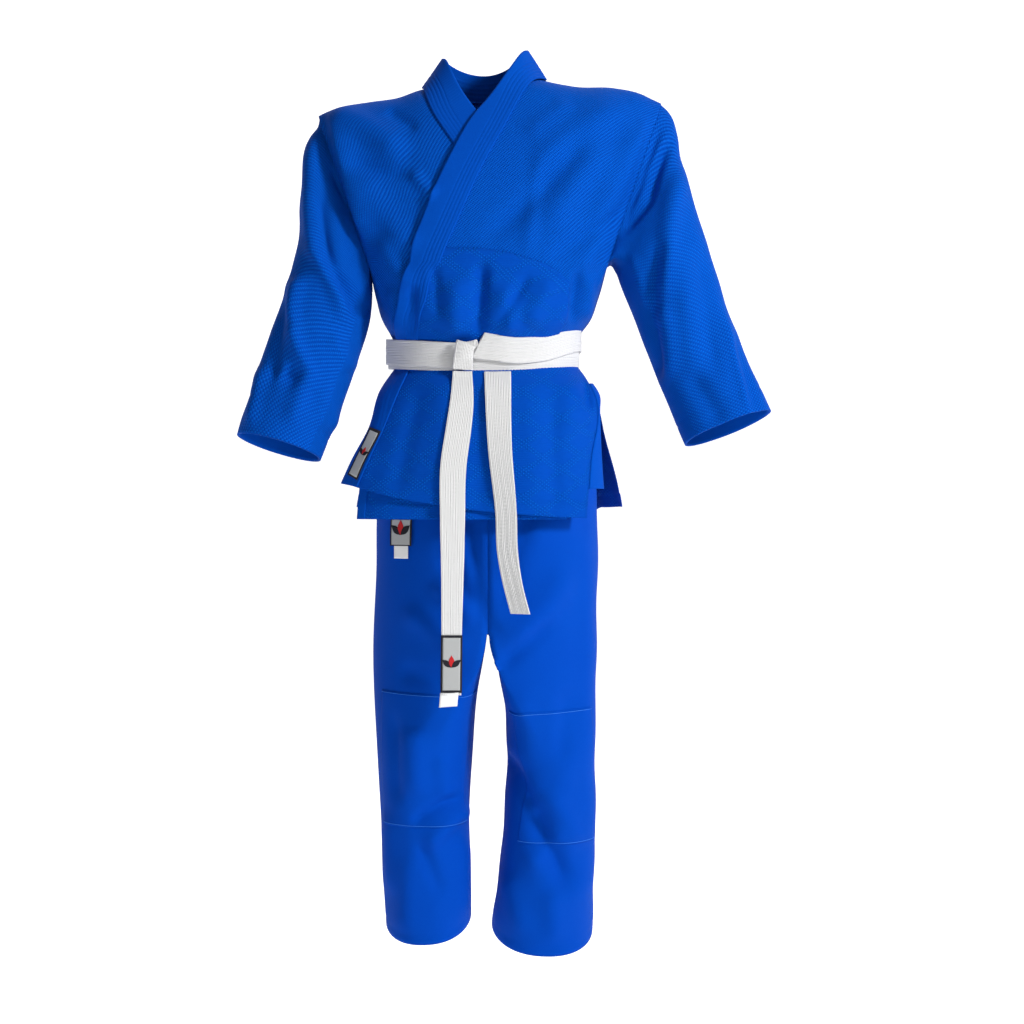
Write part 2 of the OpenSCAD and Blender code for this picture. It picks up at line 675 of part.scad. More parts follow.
jacket_back_upper();
left_front_upper();
right_front_upper();
jacket_back_waist();
left_front_waist();
right_front_waist();
left_lapel();
right_lapel();
collar_neck();
left_lapel_core();
right_lapel_core();
collar_core();
shoulder_lining();
back_skirt();
left_vent_patch();
right_vent_patch();
right_front_skirt();
right_lapel_end();
right_vent_band();
left_front_skirt();
left_lapel_end();
left_vent_band();
lapel_label();
left_sleeve();
left_cuff_facing();
left_gusset();
right_sleeve();
right_cuff_facing();
right_gusset();
belt_wrap_inner();
belt_wrap_outer();
belt_knot_over();
belt_knot_cross();
belt_knot_under();
belt_tail_long();
belt_label();
belt_size_tag();
belt_tail_short();
trousers_left_hip();
trousers_right_hip();
trousers_waistband();
crotch_gusset();
trousers_label();
trousers_size_tag();
left_leg();
left_knee_patch();
left_leg_facing();
right_leg();
right_knee_patch();
right_leg_facing();
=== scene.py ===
import bmesh
import bpy
import numpy as np
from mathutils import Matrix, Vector


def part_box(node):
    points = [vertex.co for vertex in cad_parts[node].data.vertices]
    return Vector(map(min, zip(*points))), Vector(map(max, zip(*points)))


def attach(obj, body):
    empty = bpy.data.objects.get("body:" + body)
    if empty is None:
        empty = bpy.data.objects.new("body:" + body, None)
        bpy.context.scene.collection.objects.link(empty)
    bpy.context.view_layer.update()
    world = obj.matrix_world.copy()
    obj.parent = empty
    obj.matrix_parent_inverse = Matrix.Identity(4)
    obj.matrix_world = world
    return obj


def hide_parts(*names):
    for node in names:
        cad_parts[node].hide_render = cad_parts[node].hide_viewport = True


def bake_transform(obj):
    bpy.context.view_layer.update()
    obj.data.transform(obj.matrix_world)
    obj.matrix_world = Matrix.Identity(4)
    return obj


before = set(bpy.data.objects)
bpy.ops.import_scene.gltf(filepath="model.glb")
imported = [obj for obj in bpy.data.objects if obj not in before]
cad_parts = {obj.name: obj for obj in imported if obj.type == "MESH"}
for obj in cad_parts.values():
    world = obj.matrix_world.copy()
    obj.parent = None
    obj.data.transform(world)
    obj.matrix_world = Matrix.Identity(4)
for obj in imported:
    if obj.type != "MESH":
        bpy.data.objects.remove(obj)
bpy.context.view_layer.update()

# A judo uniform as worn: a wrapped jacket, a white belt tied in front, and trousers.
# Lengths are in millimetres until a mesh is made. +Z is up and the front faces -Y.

MM = 0.001


def reach(node):
    """The lowest and highest corner of a CAD node, in millimetres."""
    low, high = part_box(node)
    return np.array(low) / MM, np.array(high) / MM


# Levels and sizes taken from the frame
CHEST_Z = reach("left_front_waist")[1][2]
SKIRT_TOP_Z = reach("left_front_waist")[0][2]
BELT_LOW_Z = reach("belt_wrap_inner")[0][2]
BELT_W = reach("belt_wrap_inner")[1][2] - BELT_LOW_Z
CROTCH_Z = reach("left_leg")[1][2]
TROUSER_TOP_Z = reach("trousers_left_hip")[1][2]

# Thicknesses of the cloths, and the room left between two layers
CLOTH = 1.8
DRILL = 1.2
BAND = 2.5
WEBBING = 2.6
LAYER = 0.8

# The jacket's half width and half depth at the chest seam, and half widths at the left and right shoulder
CHEST_HALF_W = 178
CHEST_HALF_D = 122
LEFT_SHOULDER_W, RIGHT_SHOULDER_W = 262, 257

# The jacket's sections are ovals of one power and the trousers' of another; the jacket's sides go flat from
# an angle on
ROUND = 2.4
LEG_ROUND = 2.2
FLAT_ANGLE = 60
FLAT_SHARE = np.sin(np.radians(FLAT_ANGLE)) ** (2 / ROUND)

# The top front lies this far outside the under one; the skirt starts behind the belt, and hangs free below it
TOP_LIFT = CLOTH + LAYER + BAND + LAYER
SKIRT_START_Z = -402
BELOW_BELT_Z = -424
SIDES = ((1, "left"), (-1, "right"))


# ---------------------------------------------------------------- plain maths

def mix(a, b, t):
    """a at 0, b at 1, and straight between."""
    return a + (b - a) * t


def smooth(t):
    """0 below 0, 1 above 1, and 3t^2 - 2t^3 between."""
    t = np.clip(t, 0, 1)
    return t * t * (3 - 2 * t)


def through(t, stops):
    """A smooth curve through (place, value) stops: a cubic on each stretch, with slopes from the neighbours."""
    at, value = np.array(stops, float).T
    slope = np.gradient(value, at)
    t = np.clip(t, at[0], at[-1])
    i = np.clip(np.searchsorted(at, t) - 1, 0, len(at) - 2)
    h = at[i + 1] - at[i]
    s = (t - at[i]) / h
    rise = value[i] * (1 + 2 * s) * (1 - s) ** 2 + value[i + 1] * s * s * (3 - 2 * s)
    return rise + h * (slope[i] * s * (1 - s) ** 2 - slope[i + 1] * s * s * (1 - s))


def bell(distance, width):
    """1 at distance 0, falling to 1/e at width."""
    return np.exp(-((distance / width) ** 2))


def power(value, exponent):
    """The size of value to that exponent, with value's own sign."""
    return np.sign(value) * np.abs(value) ** exponent


def grid(rows, cols):
    """Two arrays that run from 0 to 1, the first down the rows and the second across the columns."""
    return np.meshgrid(np.linspace(0, 1, rows), np.linspace(0, 1, cols), indexing="ij")


def stack(x, y, z):
    return np.stack(np.broadcast_arrays(x, y, z), -1).astype(float)


def unit(p):
    return p / (np.linalg.norm(p, axis=-1, keepdims=True) + 1e-9)


def normals(p, centre):
    """Unit normals of a grid of points, from its two tangents, on the side away from centre."""
    down = np.gradient(p, axis=0)
    across = np.gradient(p, axis=1)
    n = unit(np.cross(across, down))
    return n * np.sign(np.mean(np.sum(n * (p - centre), -1)))


def push(p, centre, height):
    """The grid moved along its normals by height."""
    return p + normals(p, centre) * np.broadcast_to(height, p.shape[:2])[..., None]


def folds(p, lines):
    """Soft folds seen from the front. A line is (x0, z0, x1, z1, width, height, bow): a bell across the bowed
    line from the first point to the second, fading out at both ends."""
    x, z = p[..., 0], p[..., 2]
    total = np.zeros(x.shape)
    for x0, z0, x1, z1, width, height, bow in lines:
        width = width * (0.8 if height < 0 else 1)
        dx, dz = x1 - x0, z1 - z0
        long = np.hypot(dx, dz)
        along = ((x - x0) * dx + (z - z0) * dz) / long**2
        inside = np.clip(along, 0, 1)
        across = ((x - x0) * dz - (z - z0) * dx) / long - bow * 4 * inside * (1 - inside)
        fade = smooth((along + 0.15) / 0.35) * smooth((1.15 - along) / 0.35)
        total += height * bell(across, width) * fade
    return total


def ripple(p, wavelength, height, seed):
    """A gentle unevenness: the mean of six sine waves in seeded directions."""
    rng = np.random.default_rng(seed)
    total = np.zeros(p.shape[:-1])
    for _ in range(6):
        way = rng.normal(size=3)
        way /= np.linalg.norm(way) * wavelength / (2 * np.pi) * rng.uniform(0.7, 1.4)
        total += np.sin(p @ way + rng.uniform(0, 2 * np.pi))
    return total * height / 6


def stitched(across, width, rows, depth):
    """Grooves along rows of stitching, evenly spaced over the middle of a band."""
    shares = (np.arange(rows) + 0.5) / rows
    return -depth * sum(bell(across - a * (width - 6) - 3, 0.9) for a in shares)


# ---------------------------------------------------------------- materials

def tree_of(name):
    """A new material with its node tree and its Principled BSDF."""
    material = bpy.data.materials.new(name)
    material.use_nodes = True
    return material, material.node_tree, material.node_tree.nodes["Principled BSDF"]


def maths(tree, operation, a, b=None):
    """A Math node; each input is a number or another node's socket."""
    node = tree.nodes.new("ShaderNodeMath")
    node.operation = operation
    for socket, value in zip(node.inputs, (a, b)):
        if isinstance(value, (int, float)):
            socket.default_value = value
        elif value is not None:
            tree.links.new(value, socket)
    return node.outputs[0]


def new_group(name, numbers):
    """A node group that takes a Vector and named numbers, with its tree, inputs and output node."""
    group = bpy.data.node_groups.new(name, "ShaderNodeTree")
    group.interface.new_socket("Vector", in_out="INPUT", socket_type="NodeSocketVector")
    for key, value in numbers.items():
        socket = group.interface.new_socket(key, in_out="INPUT", socket_type="NodeSocketFloat")
        socket.default_value = value
    for key in ("Height", "Mask"):
        group.interface.new_socket(key, in_out="OUTPUT", socket_type="NodeSocketFloat")
    enter = group.nodes.new("NodeGroupInput")
    leave = group.nodes.new("NodeGroupOutput")
    split = group.nodes.new("ShaderNodeSeparateXYZ")
    group.links.new(enter.outputs["Vector"], split.inputs[0])
    return group, enter, leave, split.outputs["X"], split.outputs["Y"]


def rice_group():
    """Rice-grain weave: oval grains in staggered rows, the product of two sines of the cloth's own directions."""
    group, enter, leave, u, v = new_group("rice grain", {"Width": 5.2, "Length": 4.0, "Slant": 0.3})
    lean = maths(group, "ADD", u, maths(group, "MULTIPLY", v, enter.outputs["Slant"]))
    turn_u = maths(group, "MULTIPLY", maths(group, "DIVIDE", lean, enter.outputs["Width"]), 2 * np.pi)
    turn_v = maths(group, "MULTIPLY", maths(group, "DIVIDE", v, enter.outputs["Length"]), 2 * np.pi)
    grain = maths(group, "MULTIPLY", maths(group, "SINE", turn_u), maths(group, "SINE", turn_v))
    group.links.new(maths(group, "MAXIMUM", grain, 0.0), leave.inputs["Height"])
    group.links.new(maths(group, "MAXIMUM", maths(group, "MULTIPLY", grain, -1.0), 0.0), leave.inputs["Mask"])
    return group


def diamond_group():
    """Diamond weave: two families of slanting bands that cross as a lattice, each made of short floating
    stitches in staggered rows; the ground between them has fine level ribs."""
    group, enter, leave, u, v = new_group("diamond", {"Width": 62.0, "Length": 40.0, "Band": 0.15})
    across = maths(group, "DIVIDE", u, enter.outputs["Width"])
    down = maths(group, "DIVIDE", v, enter.outputs["Length"])
    bands = []
    for operation in ("ADD", "SUBTRACT"):
        place = maths(group, "FRACT", maths(group, operation, across, down))
        off = maths(group, "ABSOLUTE", maths(group, "SUBTRACT", place, 0.5))
        bands.append(maths(group, "LESS_THAN", off, enter.outputs["Band"]))
    lattice = maths(group, "MAXIMUM", bands[0], bands[1])
    turn_u = maths(group, "MULTIPLY", u, 2 * np.pi / 7.2)
    turn_v = maths(group, "MULTIPLY", v, 2 * np.pi / 5.2)
    stitch = maths(group, "MULTIPLY", maths(group, "SINE", turn_u), maths(group, "SINE", turn_v))
    stitch = maths(group, "MULTIPLY", maths(group, "MAXIMUM", maths(group, "SUBTRACT", stitch, 0.15), 0.0), 1.2)
    shown = maths(group, "MULTIPLY", stitch, lattice)
    rib = maths(group, "MULTIPLY", maths(group, "SINE", maths(group, "MULTIPLY", v, 2 * np.pi / 2.6)), 0.12)
    group.links.new(maths(group, "ADD", shown, rib), leave.inputs["Height"])
    group.links.new(shown, leave.inputs["Mask"])
    return group


def twill_group():
    """Twill or plain cloth: fine slanting ridges, a sine of a mix of the cloth's two directions."""
    group, enter, leave, u, v = new_group("twill", {"Pitch": 1.6, "Slant": 0.6})
    lean = maths(group, "MULTIPLY", v, enter.outputs["Slant"])
    place = maths(group, "DIVIDE", maths(group, "ADD", u, lean), enter.outputs["Pitch"])
    ridge = maths(group, "SINE", maths(group, "MULTIPLY", place, 2 * np.pi))
    half = maths(group, "ADD", maths(group, "MULTIPLY", ridge, 0.5), 0.5)
    group.links.new(half, leave.inputs["Height"])
    group.links.new(half, leave.inputs["Mask"])
    return group


def cloth_material(name, group, values, dark, light, bump, fleck, fade=0.10, rough=0.86, sheen=0.06):
    """Woven cotton: the weave's height makes the bump, its mask mixes a darker and a lighter yarn, and slow
    noise fades the dye a little."""
    material, tree, shader = tree_of(name)
    place = tree.nodes.new("ShaderNodeUVMap")
    place.uv_map = "cloth"
    scale = tree.nodes.new("ShaderNodeMapping")
    scale.inputs["Scale"].default_value = (1 / MM, 1 / MM, 1)
    tree.links.new(place.outputs[0], scale.inputs["Vector"])
    weave = tree.nodes.new("ShaderNodeGroup")
    weave.node_tree = group
    for key, value in values.items():
        weave.inputs[key].default_value = value
    tree.links.new(scale.outputs[0], weave.inputs["Vector"])
    spot = tree.nodes.new("ShaderNodeTexCoord")
    slow = tree.nodes.new("ShaderNodeTexNoise")
    slow.inputs["Scale"].default_value = 9
    slow.inputs["Detail"].default_value = 5
    tree.links.new(spot.outputs["Object"], slow.inputs["Vector"])
    fine = tree.nodes.new("ShaderNodeTexNoise")
    fine.inputs["Scale"].default_value = 900
    tree.links.new(spot.outputs["Object"], fine.inputs["Vector"])
    yarn = maths(tree, "MULTIPLY", weave.outputs["Mask"], fleck)
    grain = maths(tree, "MULTIPLY", fine.outputs["Fac"], 0.25)
    worn = maths(tree, "MULTIPLY", slow.outputs["Fac"], fade)
    share = maths(tree, "ADD", maths(tree, "ADD", yarn, grain), worn)
    blend = tree.nodes.new("ShaderNodeMix")
    blend.data_type = "RGBA"
    blend.inputs["A"].default_value = (*dark, 1)
    blend.inputs["B"].default_value = (*light, 1)
    tree.links.new(share, blend.inputs["Factor"])
    tree.links.new(blend.outputs["Result"], shader.inputs["Base Color"])
    lift = tree.nodes.new("ShaderNodeBump")
    lift.inputs["Strength"].default_value = bump
    lift.inputs["Distance"].default_value = 1.0 * MM
    height = maths(tree, "ADD", weave.outputs["Height"], maths(tree, "MULTIPLY", fine.outputs["Fac"], 0.3))
    tree.links.new(height, lift.inputs["Height"])
    tree.links.new(lift.outputs[0], shader.inputs["Normal"])
    shader.inputs["Roughness"].default_value = rough
    shader.inputs["Sheen Weight"].default_value = sheen
    shader.inputs["Sheen Roughness"].default_value = 0.5
    shader.inputs["Sheen Tint"].default_value = (*light, 1)
    shader.inputs["Specular IOR Level"].default_value = 0.2
    shader.inputs["Specular Tint"].default_value = (*light, 1)
    return material


RICE, DIAMOND, TWILL = rice_group(), diamond_group(), twill_group()
BLUE, PALE_BLUE = (0.0006, 0.036, 0.33), (0.003, 0.155, 0.68)
rice_blue = cloth_material("rice weave blue", RICE, {}, BLUE, PALE_BLUE, 0.9, 0.45)
diamond_blue = cloth_material("diamond weave blue", DIAMOND, {}, BLUE, PALE_BLUE, 1.0, 0.45)
band_blue = cloth_material("lapel blue", TWILL, {"Pitch": 1.8, "Slant": 0.0}, BLUE, PALE_BLUE, 0.25, 0.06)
plain_blue = cloth_material("plain blue", TWILL, {"Pitch": 2.0}, BLUE, PALE_BLUE, 0.25, 0.08)
drill_blue = cloth_material("drill blue", TWILL, {"Pitch": 1.7, "Slant": 0.7}, (0.0006, 0.036, 0.36),
                            (0.003, 0.12, 0.60), 0.25, 0.10)
belt_white = cloth_material("belt white", TWILL, {"Pitch": 2.4, "Slant": 0.0}, (0.60, 0.60, 0.60),
                            (0.76, 0.76, 0.755), 0.5, 0.3)
thread_blue = cloth_material("thread blue", TWILL, {"Pitch": 0.8}, (0.03, 0.18, 0.72), (0.08, 0.32, 0.95), 0.3, 0.3)
tag_white = cloth_material("tag white", TWILL, {"Pitch": 1.0}, (0.80, 0.80, 0.80), (0.9, 0.9, 0.9), 0.2, 0.2)
label_silver = cloth_material("label silver", TWILL, {"Pitch": 0.9}, (0.36, 0.37, 0.37), (0.48, 0.49, 0.49),
                              0.3, 0.4, rough=0.55)
label_black = cloth_material("label black", TWILL, {"Pitch": 0.9}, (0.012, 0.012, 0.015), (0.05, 0.05, 0.06),
                             0.3, 0.3)
label_red = cloth_material("label red", TWILL, {"Pitch": 0.9}, (0.45, 0.015, 0.02), (0.62, 0.05, 0.05), 0.3, 0.3)


# ---------------------------------------------------------------- meshes

def flat_map(p):
    """The cloth's own directions, in metres: across by arc length in plan and up by arc length in profile."""
    across = np.hypot(np.diff(p[..., 0], axis=1), np.diff(p[..., 1], axis=1))
    up = np.hypot(np.diff(p[..., 1], axis=0), np.diff(p[..., 2], axis=0))
    u = np.concatenate([p[:, :1, 0], p[:, :1, 0] + np.cumsum(across, 1)], 1)
    v = np.concatenate([p[:1, :, 2], p[:1, :, 2] - np.cumsum(up, 0)], 0)
    return np.stack([u, v], -1) * MM


def wall_map(p):
    """The same for a nearly flat panel: straight across and straight up."""
    return p[..., [0, 2]] * 1.05 * MM


def ring_map(p):
    """The same for a tube or a strap, by whole distances round and along it."""
    across = np.linalg.norm(np.diff(p, axis=1), axis=-1)
    along = np.linalg.norm(np.diff(p, axis=0), axis=-1)
    u = np.concatenate([np.zeros((len(p), 1)), np.cumsum(across, 1)], 1)
    v = np.concatenate([np.zeros((1, p.shape[1])), np.cumsum(along, 0)], 0)
    return np.stack([u, v], -1) * MM


def tube_map(p):
    """The same for a tube, evenly spread: the mean distance round it and along it."""
    width = np.linalg.norm(np.diff(p, axis=1), axis=-1).sum(1).mean()
    length = np.linalg.norm(np.diff(p, axis=0), axis=-1).sum(0).mean()
    v, u = grid(*p.shape[:2])
    return np.stack([u * width, v * length], -1) * MM


def mesh_from(name, parts, material, centre, uv_rule=flat_map):
    """One mesh from grids of points that share their edges; every face looks away from centre."""
    points, faces, uvs, start = [], [], [], 0
    for p in parts:
        rows, cols = p.shape[:2]
        index = start + np.arange(rows * cols).reshape(rows, cols)
        quad = np.stack([index[:-1, :-1], index[:-1, 1:], index[1:, 1:], index[1:, :-1]], -1).reshape(-1, 4)
        n = np.cross(np.gradient(p, axis=0), np.gradient(p, axis=1))
        if np.mean(np.sum(n * (p - centre), -1)) > 0:
            quad = quad[:, ::-1]
        points.append(p.reshape(-1, 3))
        faces.append(quad)
        uvs.append(uv_rule(p).reshape(-1, 2))
        start += rows * cols
    points, faces, uvs = np.concatenate(points), np.concatenate(faces), np.concatenate(uvs)
    mesh = bpy.data.meshes.new(name)
    mesh.from_pydata((points * MM).tolist(), [], faces.tolist())
    layer = mesh.uv_layers.new(name="cloth")
    layer.data.foreach_set("uv", uvs[faces.ravel()].ravel())
    join = bmesh.new()
    join.from_mesh(mesh)
    bmesh.ops.remove_doubles(join, verts=join.verts, dist=0.02 * MM)
    join.to_mesh(mesh)
    join.free()
    mesh.polygons.foreach_set("use_smooth", [True] * len(mesh.polygons))
    mesh.materials.append(material)
    piece = bpy.data.objects.new(name, mesh)
    bpy.context.scene.collection.objects.link(piece)
    return piece


def sewn(name, parts, material, slot, thick, body, nodes=(), centre=(0, 0, -500), held="hung", uv_rule=flat_map,
         blend=None, rests=("back_rice_weave",), sheet=True):
    """A cut piece of cloth: its mesh and its thickness inwards; it follows its body, or, when given a blend, it is
    only fixed in place; the CAD nodes it stands for are hidden."""
    piece = mesh_from(name, parts, material, np.array(centre, float), uv_rule)
    wall = piece.modifiers.new("thickness", "SOLIDIFY")
    wall.thickness = thick * MM
    wall.offset = -1
    if blend:
        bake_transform(piece)
    else:
        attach(piece, body)
    if nodes:
        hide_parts(*nodes)
    if not sheet:
        return piece
    spread = np.concatenate([uv_rule(p).reshape(-1, 2) for p in parts])
    return piece


# ---------------------------------------------------------------- the jacket's body

WAIST_LEN = CHEST_Z - SKIRT_TOP_Z
HALF_W = [(-1, 127), (-0.68, 128), (-0.6, 138), (-0.5, 151), (-0.3, 164), (0, 178)]
RIGHT_HALF_W = [(-1, 139), (-0.68, 141), (-0.6, 148), (-0.5, 158), (-0.3, 168), (0, 178)]
RIDGE_Z = [(-1, -34), (-0.95, -27), (-0.83, -18), (-0.69, -13), (-0.53, -7), (-0.4, 5), (-0.28, 10), (0, 22),
           (0.28, 22), (0.4, 15), (0.515, 9.5), (0.725, 8), (0.885, 0), (1, -15)]
HALF_D = [(-1, 95), (-0.7, 96), (-0.62, 104), (-0.5, 116), (-0.3, 121), (0, 122)]


def width_share(angle, flat):
    """Share of the half width at an angle, 0 in front and 90 on the left; flat squares off the sides."""
    s = np.sin(np.radians(angle))
    a = np.abs(s) ** (2 / ROUND)
    return np.sign(s) * mix(a, np.minimum(1, a / FLAT_SHARE), flat)


def depth_share(angle):
    """Share of the half depth at an angle: 1 in front and -1 behind."""
    return power(np.cos(np.radians(angle)), 2 / ROUND)


def angle_of(share, flat):
    """The angle at which width_share is share."""
    a = np.minimum(1, np.abs(share) / mix(1, 1 / FLAT_SHARE, flat))
    return np.sign(share) * np.degrees(np.arcsin(a ** (ROUND / 2)))


def flatness(v):
    """How far the sides are squared off at a level: not at all at the belt, and fully from the chest seam up."""
    return np.clip((v + 0.6) / 0.6, 0, 1)


def body(angle, v):
    """A point on the jacket's inner face: an oval section, with its width and depth by level; level 1 is the
    shoulder line, 0 the chest seam and -1 under the belt."""
    angle, v = np.broadcast_arrays(np.asarray(angle, float), np.asarray(v, float))
    up = np.sin(np.radians(90 * np.maximum(v, 0)))
    share = width_share(angle, flatness(v))
    waist = np.where(share > 0, through(v, HALF_W), through(v, RIGHT_HALF_W))
    shoulder = np.where(share > 0, LEFT_SHOULDER_W, RIGHT_SHOULDER_W)
    half_w = np.where(v > 0, mix(CHEST_HALF_W, shoulder, up), waist)
    half_d = np.where(v > 0, CHEST_HALF_D * np.cos(np.radians(90 * np.maximum(v, 0))), through(v, HALF_D))
    z = np.where(v > 0, mix(CHEST_Z, through(share, RIDGE_Z), up), CHEST_Z + v * WAIST_LEN)
    return stack(half_w * share, -half_d * depth_share(angle), z)


def body_out(angle, v, out):
    """A point that far outside the inner face, along the surface's normal."""
    around = body(angle + 1, v) - body(angle - 1, v)
    up = body(angle, v + 0.01) - body(angle, v - 0.01)
    return body(angle, v) + unit(np.cross(around, up)) * np.asarray(out)[..., None]


def dressed(angle, v, lift, ease=1):
    """A point on a layer of cloth: lift outside the body, and out again by the body's folds times ease."""
    base = body_out(angle, v, lift)
    way = body_out(angle, v, 1) - body(angle, v)
    return base + way * (torso_folds(base) * ease)[..., None]


# Folds of the chest, from the shoulders down towards the belt: (x0, z0, x1, z1, width, height, bow)
CHEST_FOLDS = [
    (236, -55, 165, -205, 22, 9, 4), (200, -28, 80, -112, 26, 6, 6), (140, -78, 5, -222, 20, -5, -8),
    (176, -88, 88, -210, 22, 6, 4), (205, -175, 100, -252, 16, -5, -4), (172, -215, 128, -285, 14, 5, 0),
    (78, -100, 58, -245, 12, 3, 0), (120, -20, 60, -70, 16, 3, 0),
    (-240, -34, -128, -96, 22, 10, -6), (-236, -60, -184, -225, 24, 13, -6), (-185, -130, -115, -240, 20, 6, 4),
    (-112, -128, -80, -165, 10, 4, 0), (-205, -110, -120, -130, 14, -4, 4), (-160, -230, -120, -300, 16, 5, 0),
    (-150, -30, -110, -60, 12, -3, 0),
]
BLOUSE_FOLDS = [
    (-8, -268, -13, -368, 13, -9, 0), (-47, -290, -48, -372, 18, 6, 0), (22, -300, 34, -368, 16, 6, 0),
    (60, -285, 18, -350, 10, -4, 0), (96, -290, 62, -352, 16, 5, 2), (134, -272, 128, -350, 9, -7, 0),
    (152, -282, 146, -344, 9, 5, 0), (-140, -300, -136, -365, 12, 5, 0), (-112, -300, -112, -365, 9, -4, 0),
    (-80, -270, -72, -340, 10, -3, 0),
]


BACK_FOLDS = [
    (-190, -40, -90, -200, 24, 6, 0), (190, -40, 90, -200, 24, 6, 0), (-60, -120, -20, -350, 22, -5, 4),
    (70, -100, 40, -350, 20, -5, -4), (0, -180, 5, -360, 18, 5, 0), (-120, -220, -90, -360, 16, 6, 0),
    (130, -200, 95, -360, 16, 6, 0),
]


def torso_folds(p):
    """Height of the jacket's folds: one set in front and another behind, with a gentle unevenness over both."""
    front = smooth(-p[..., 1] / 30)
    both = folds(p, CHEST_FOLDS) + folds(p, BLOUSE_FOLDS)
    behind = folds(p, BACK_FOLDS)
    return 1.35 * (both * front + behind * (1 - front)) + ripple(p, 90, 1.4, 3)


# Shares of the half width, by level, of each lapel's free edge and of the edge sewn to its front
FREE = [(-1, -0.93), (-0.66, -0.92), (-0.41, -0.785), (-0.18, -0.715), (0.03, -0.615), (0.22, -0.42), (0.4, -0.24),
        (0.59, -0.065), (0.66, 0.01), (0.8, 0.13), (1, 0.229)]
SEWN = [(-1, -0.70), (-0.65, -0.69), (-0.35, -0.54), (0, -0.385), (0.14, -0.225), (0.31, -0.055), (0.48, 0.094),
        (0.75, 0.235), (1, 0.336)]
UNDER_FREE = [(-1, -0.55), (-0.35, -0.55), (0, -0.5), (0.14, -0.40), (0.31, -0.22), (0.452, -0.057), (0.604, 0.07),
              (0.74, 0.168), (1, 0.27)]
UNDER_SEWN = [(-1, -0.36), (-0.35, -0.34), (0, -0.28), (0.14, -0.10), (0.31, 0.102), (0.452, 0.227), (0.604, 0.326),
              (0.8, 0.375), (1, 0.39)]


def top_lift(share, v):
    """The top front lies over the under lapel near the middle, and comes down to the body at side and shoulder."""
    return TOP_LIFT * (1 - smooth((v - 0.7) / 0.28)) * (1 - smooth((share - 0.55) / 0.42))


def front_edge(side, v):
    """A front's inner edge: the lapel's sewn edge, and a little under the lapel."""
    return through(v, SEWN if side > 0 else UNDER_SEWN) - 0.04 * (1 - smooth((v - 0.5) / 0.5))


def front_sheet(side, shares, v, extra=0.0):
    """Points on a front: the body's surface, its lift if it is the top front, and the chest's folds."""
    lift = (top_lift(shares, v) if side > 0 else 0) + CLOTH + extra
    seam = mix(1, smooth((1 - shares) / 0.07), smooth(v / 0.05))
    return dressed(side * angle_of(shares, flatness(v)), v, lift, seam)


def rice_front(side, name):
    """A front of rice weave in three grids: the chest from its sewn edge to the armhole, the outer part of it on
    down to the belt, and the flank round to the side seam, where the folds fade out."""
    first_low_column = 44
    r, c = grid(96, 84)
    v = mix(1, 0, r)
    chest = front_sheet(side, mix(front_edge(side, v), 1, c), v)
    edge = mix(front_edge(side, 0), 1, c[0, first_low_column:])
    r, _ = grid(50, len(edge))
    v = mix(0, -1, r)
    lower = front_sheet(side, np.broadcast_to(edge, v.shape), v)
    r, turn = grid(50, 14)
    v = mix(0, -1, r)
    angles = mix(angle_of(np.ones_like(v), flatness(v)), 90, turn)
    flank = dressed(side * angles, v, CLOTH, smooth((90 - angles) / 30))
    flank[:, 0] = lower[:, -1]
    sewn(f"{name}_front_rice_weave", [chest, lower, flank], rice_blue, "rice_weave", CLOTH, "jacket",
         [f"{name}_front_upper"], rests=["shoulder_yoke"])


# The curved chest seam: its level by share of the half width
SEAM = [(-0.4, 0.05), (0, 0.04), (0.25, 0.02), (0.49, -0.02), (0.62, -0.08), (0.76, -0.16)]


def diamond_front(side, name):
    """The diamond-weave panel between the chest seam and the belt, with its upper corner rounded."""
    r, c = grid(60, 90)
    corner = smooth((c - 0.7) / 0.3) * smooth((0.45 - r) / 0.45)
    share = mix(front_edge(side, mix(0.05, -1, r)), 0.76, c) - 0.05 * corner
    v = mix(through(share, SEAM), -1, r) - 0.05 * corner
    panel = front_sheet(side, share, v, 1.3)
    sewn(f"{name}_front_diamond_weave", [panel], diamond_blue, "diamond_weave", CLOTH, "jacket",
         [f"{name}_front_waist"], rests=[f"{name}_front_rice_weave"])


# ---------------------------------------------------------------- lapels and collar

COLLAR_RISE = 40
STITCH_ROWS = (4, 10, 16, 22, 28)


def lapel_sheet(top, v, across):
    """A lapel: a band between its sewn edge and its free edge on the front, rising off the neck as the collar;
    rows of stitching lie in its outer half."""
    side = 1 if top else -1
    share = mix(through(v, SEWN if top else UNDER_SEWN), through(v, FREE if top else UNDER_FREE), across)
    angle = side * angle_of(share, flatness(v))
    high = 1 - smooth((v - 0.7) / 0.28)
    lift = CLOTH + LAYER + BAND + (TOP_LIFT * high if top else 0)
    base = dressed(angle, v, lift)
    base[..., 2] += COLLAR_RISE * smooth((v - 0.6) / 0.4) * across
    wide = np.linalg.norm(base[:, -1] - base[:, 0], axis=-1)[:, None] * across
    rows = sum(bell(wide - a, 1.0) for a in STITCH_ROWS)
    pucker = 0.12 * np.sin(v * 420) * np.clip(1 - wide / 32, 0, 1)
    edge = 1.2 * (1 - smooth(np.minimum(wide, wide[:, -1:] - wide) / 2.5))
    return push(base, (0, 60, -200), -0.55 * rows + pucker - edge)


def lapel(side, name):
    r, c = grid(230, 54)
    strip = lapel_sheet(side > 0, mix(1, -0.97, r), c)
    sewn(f"{name}_lapel_band", [strip], band_blue, "lapel_cloth", BAND - 0.4, "jacket",
         [f"{name}_lapel", f"{name}_lapel_core"], uv_rule=ring_map, rests=[f"{name}_front_rice_weave"])


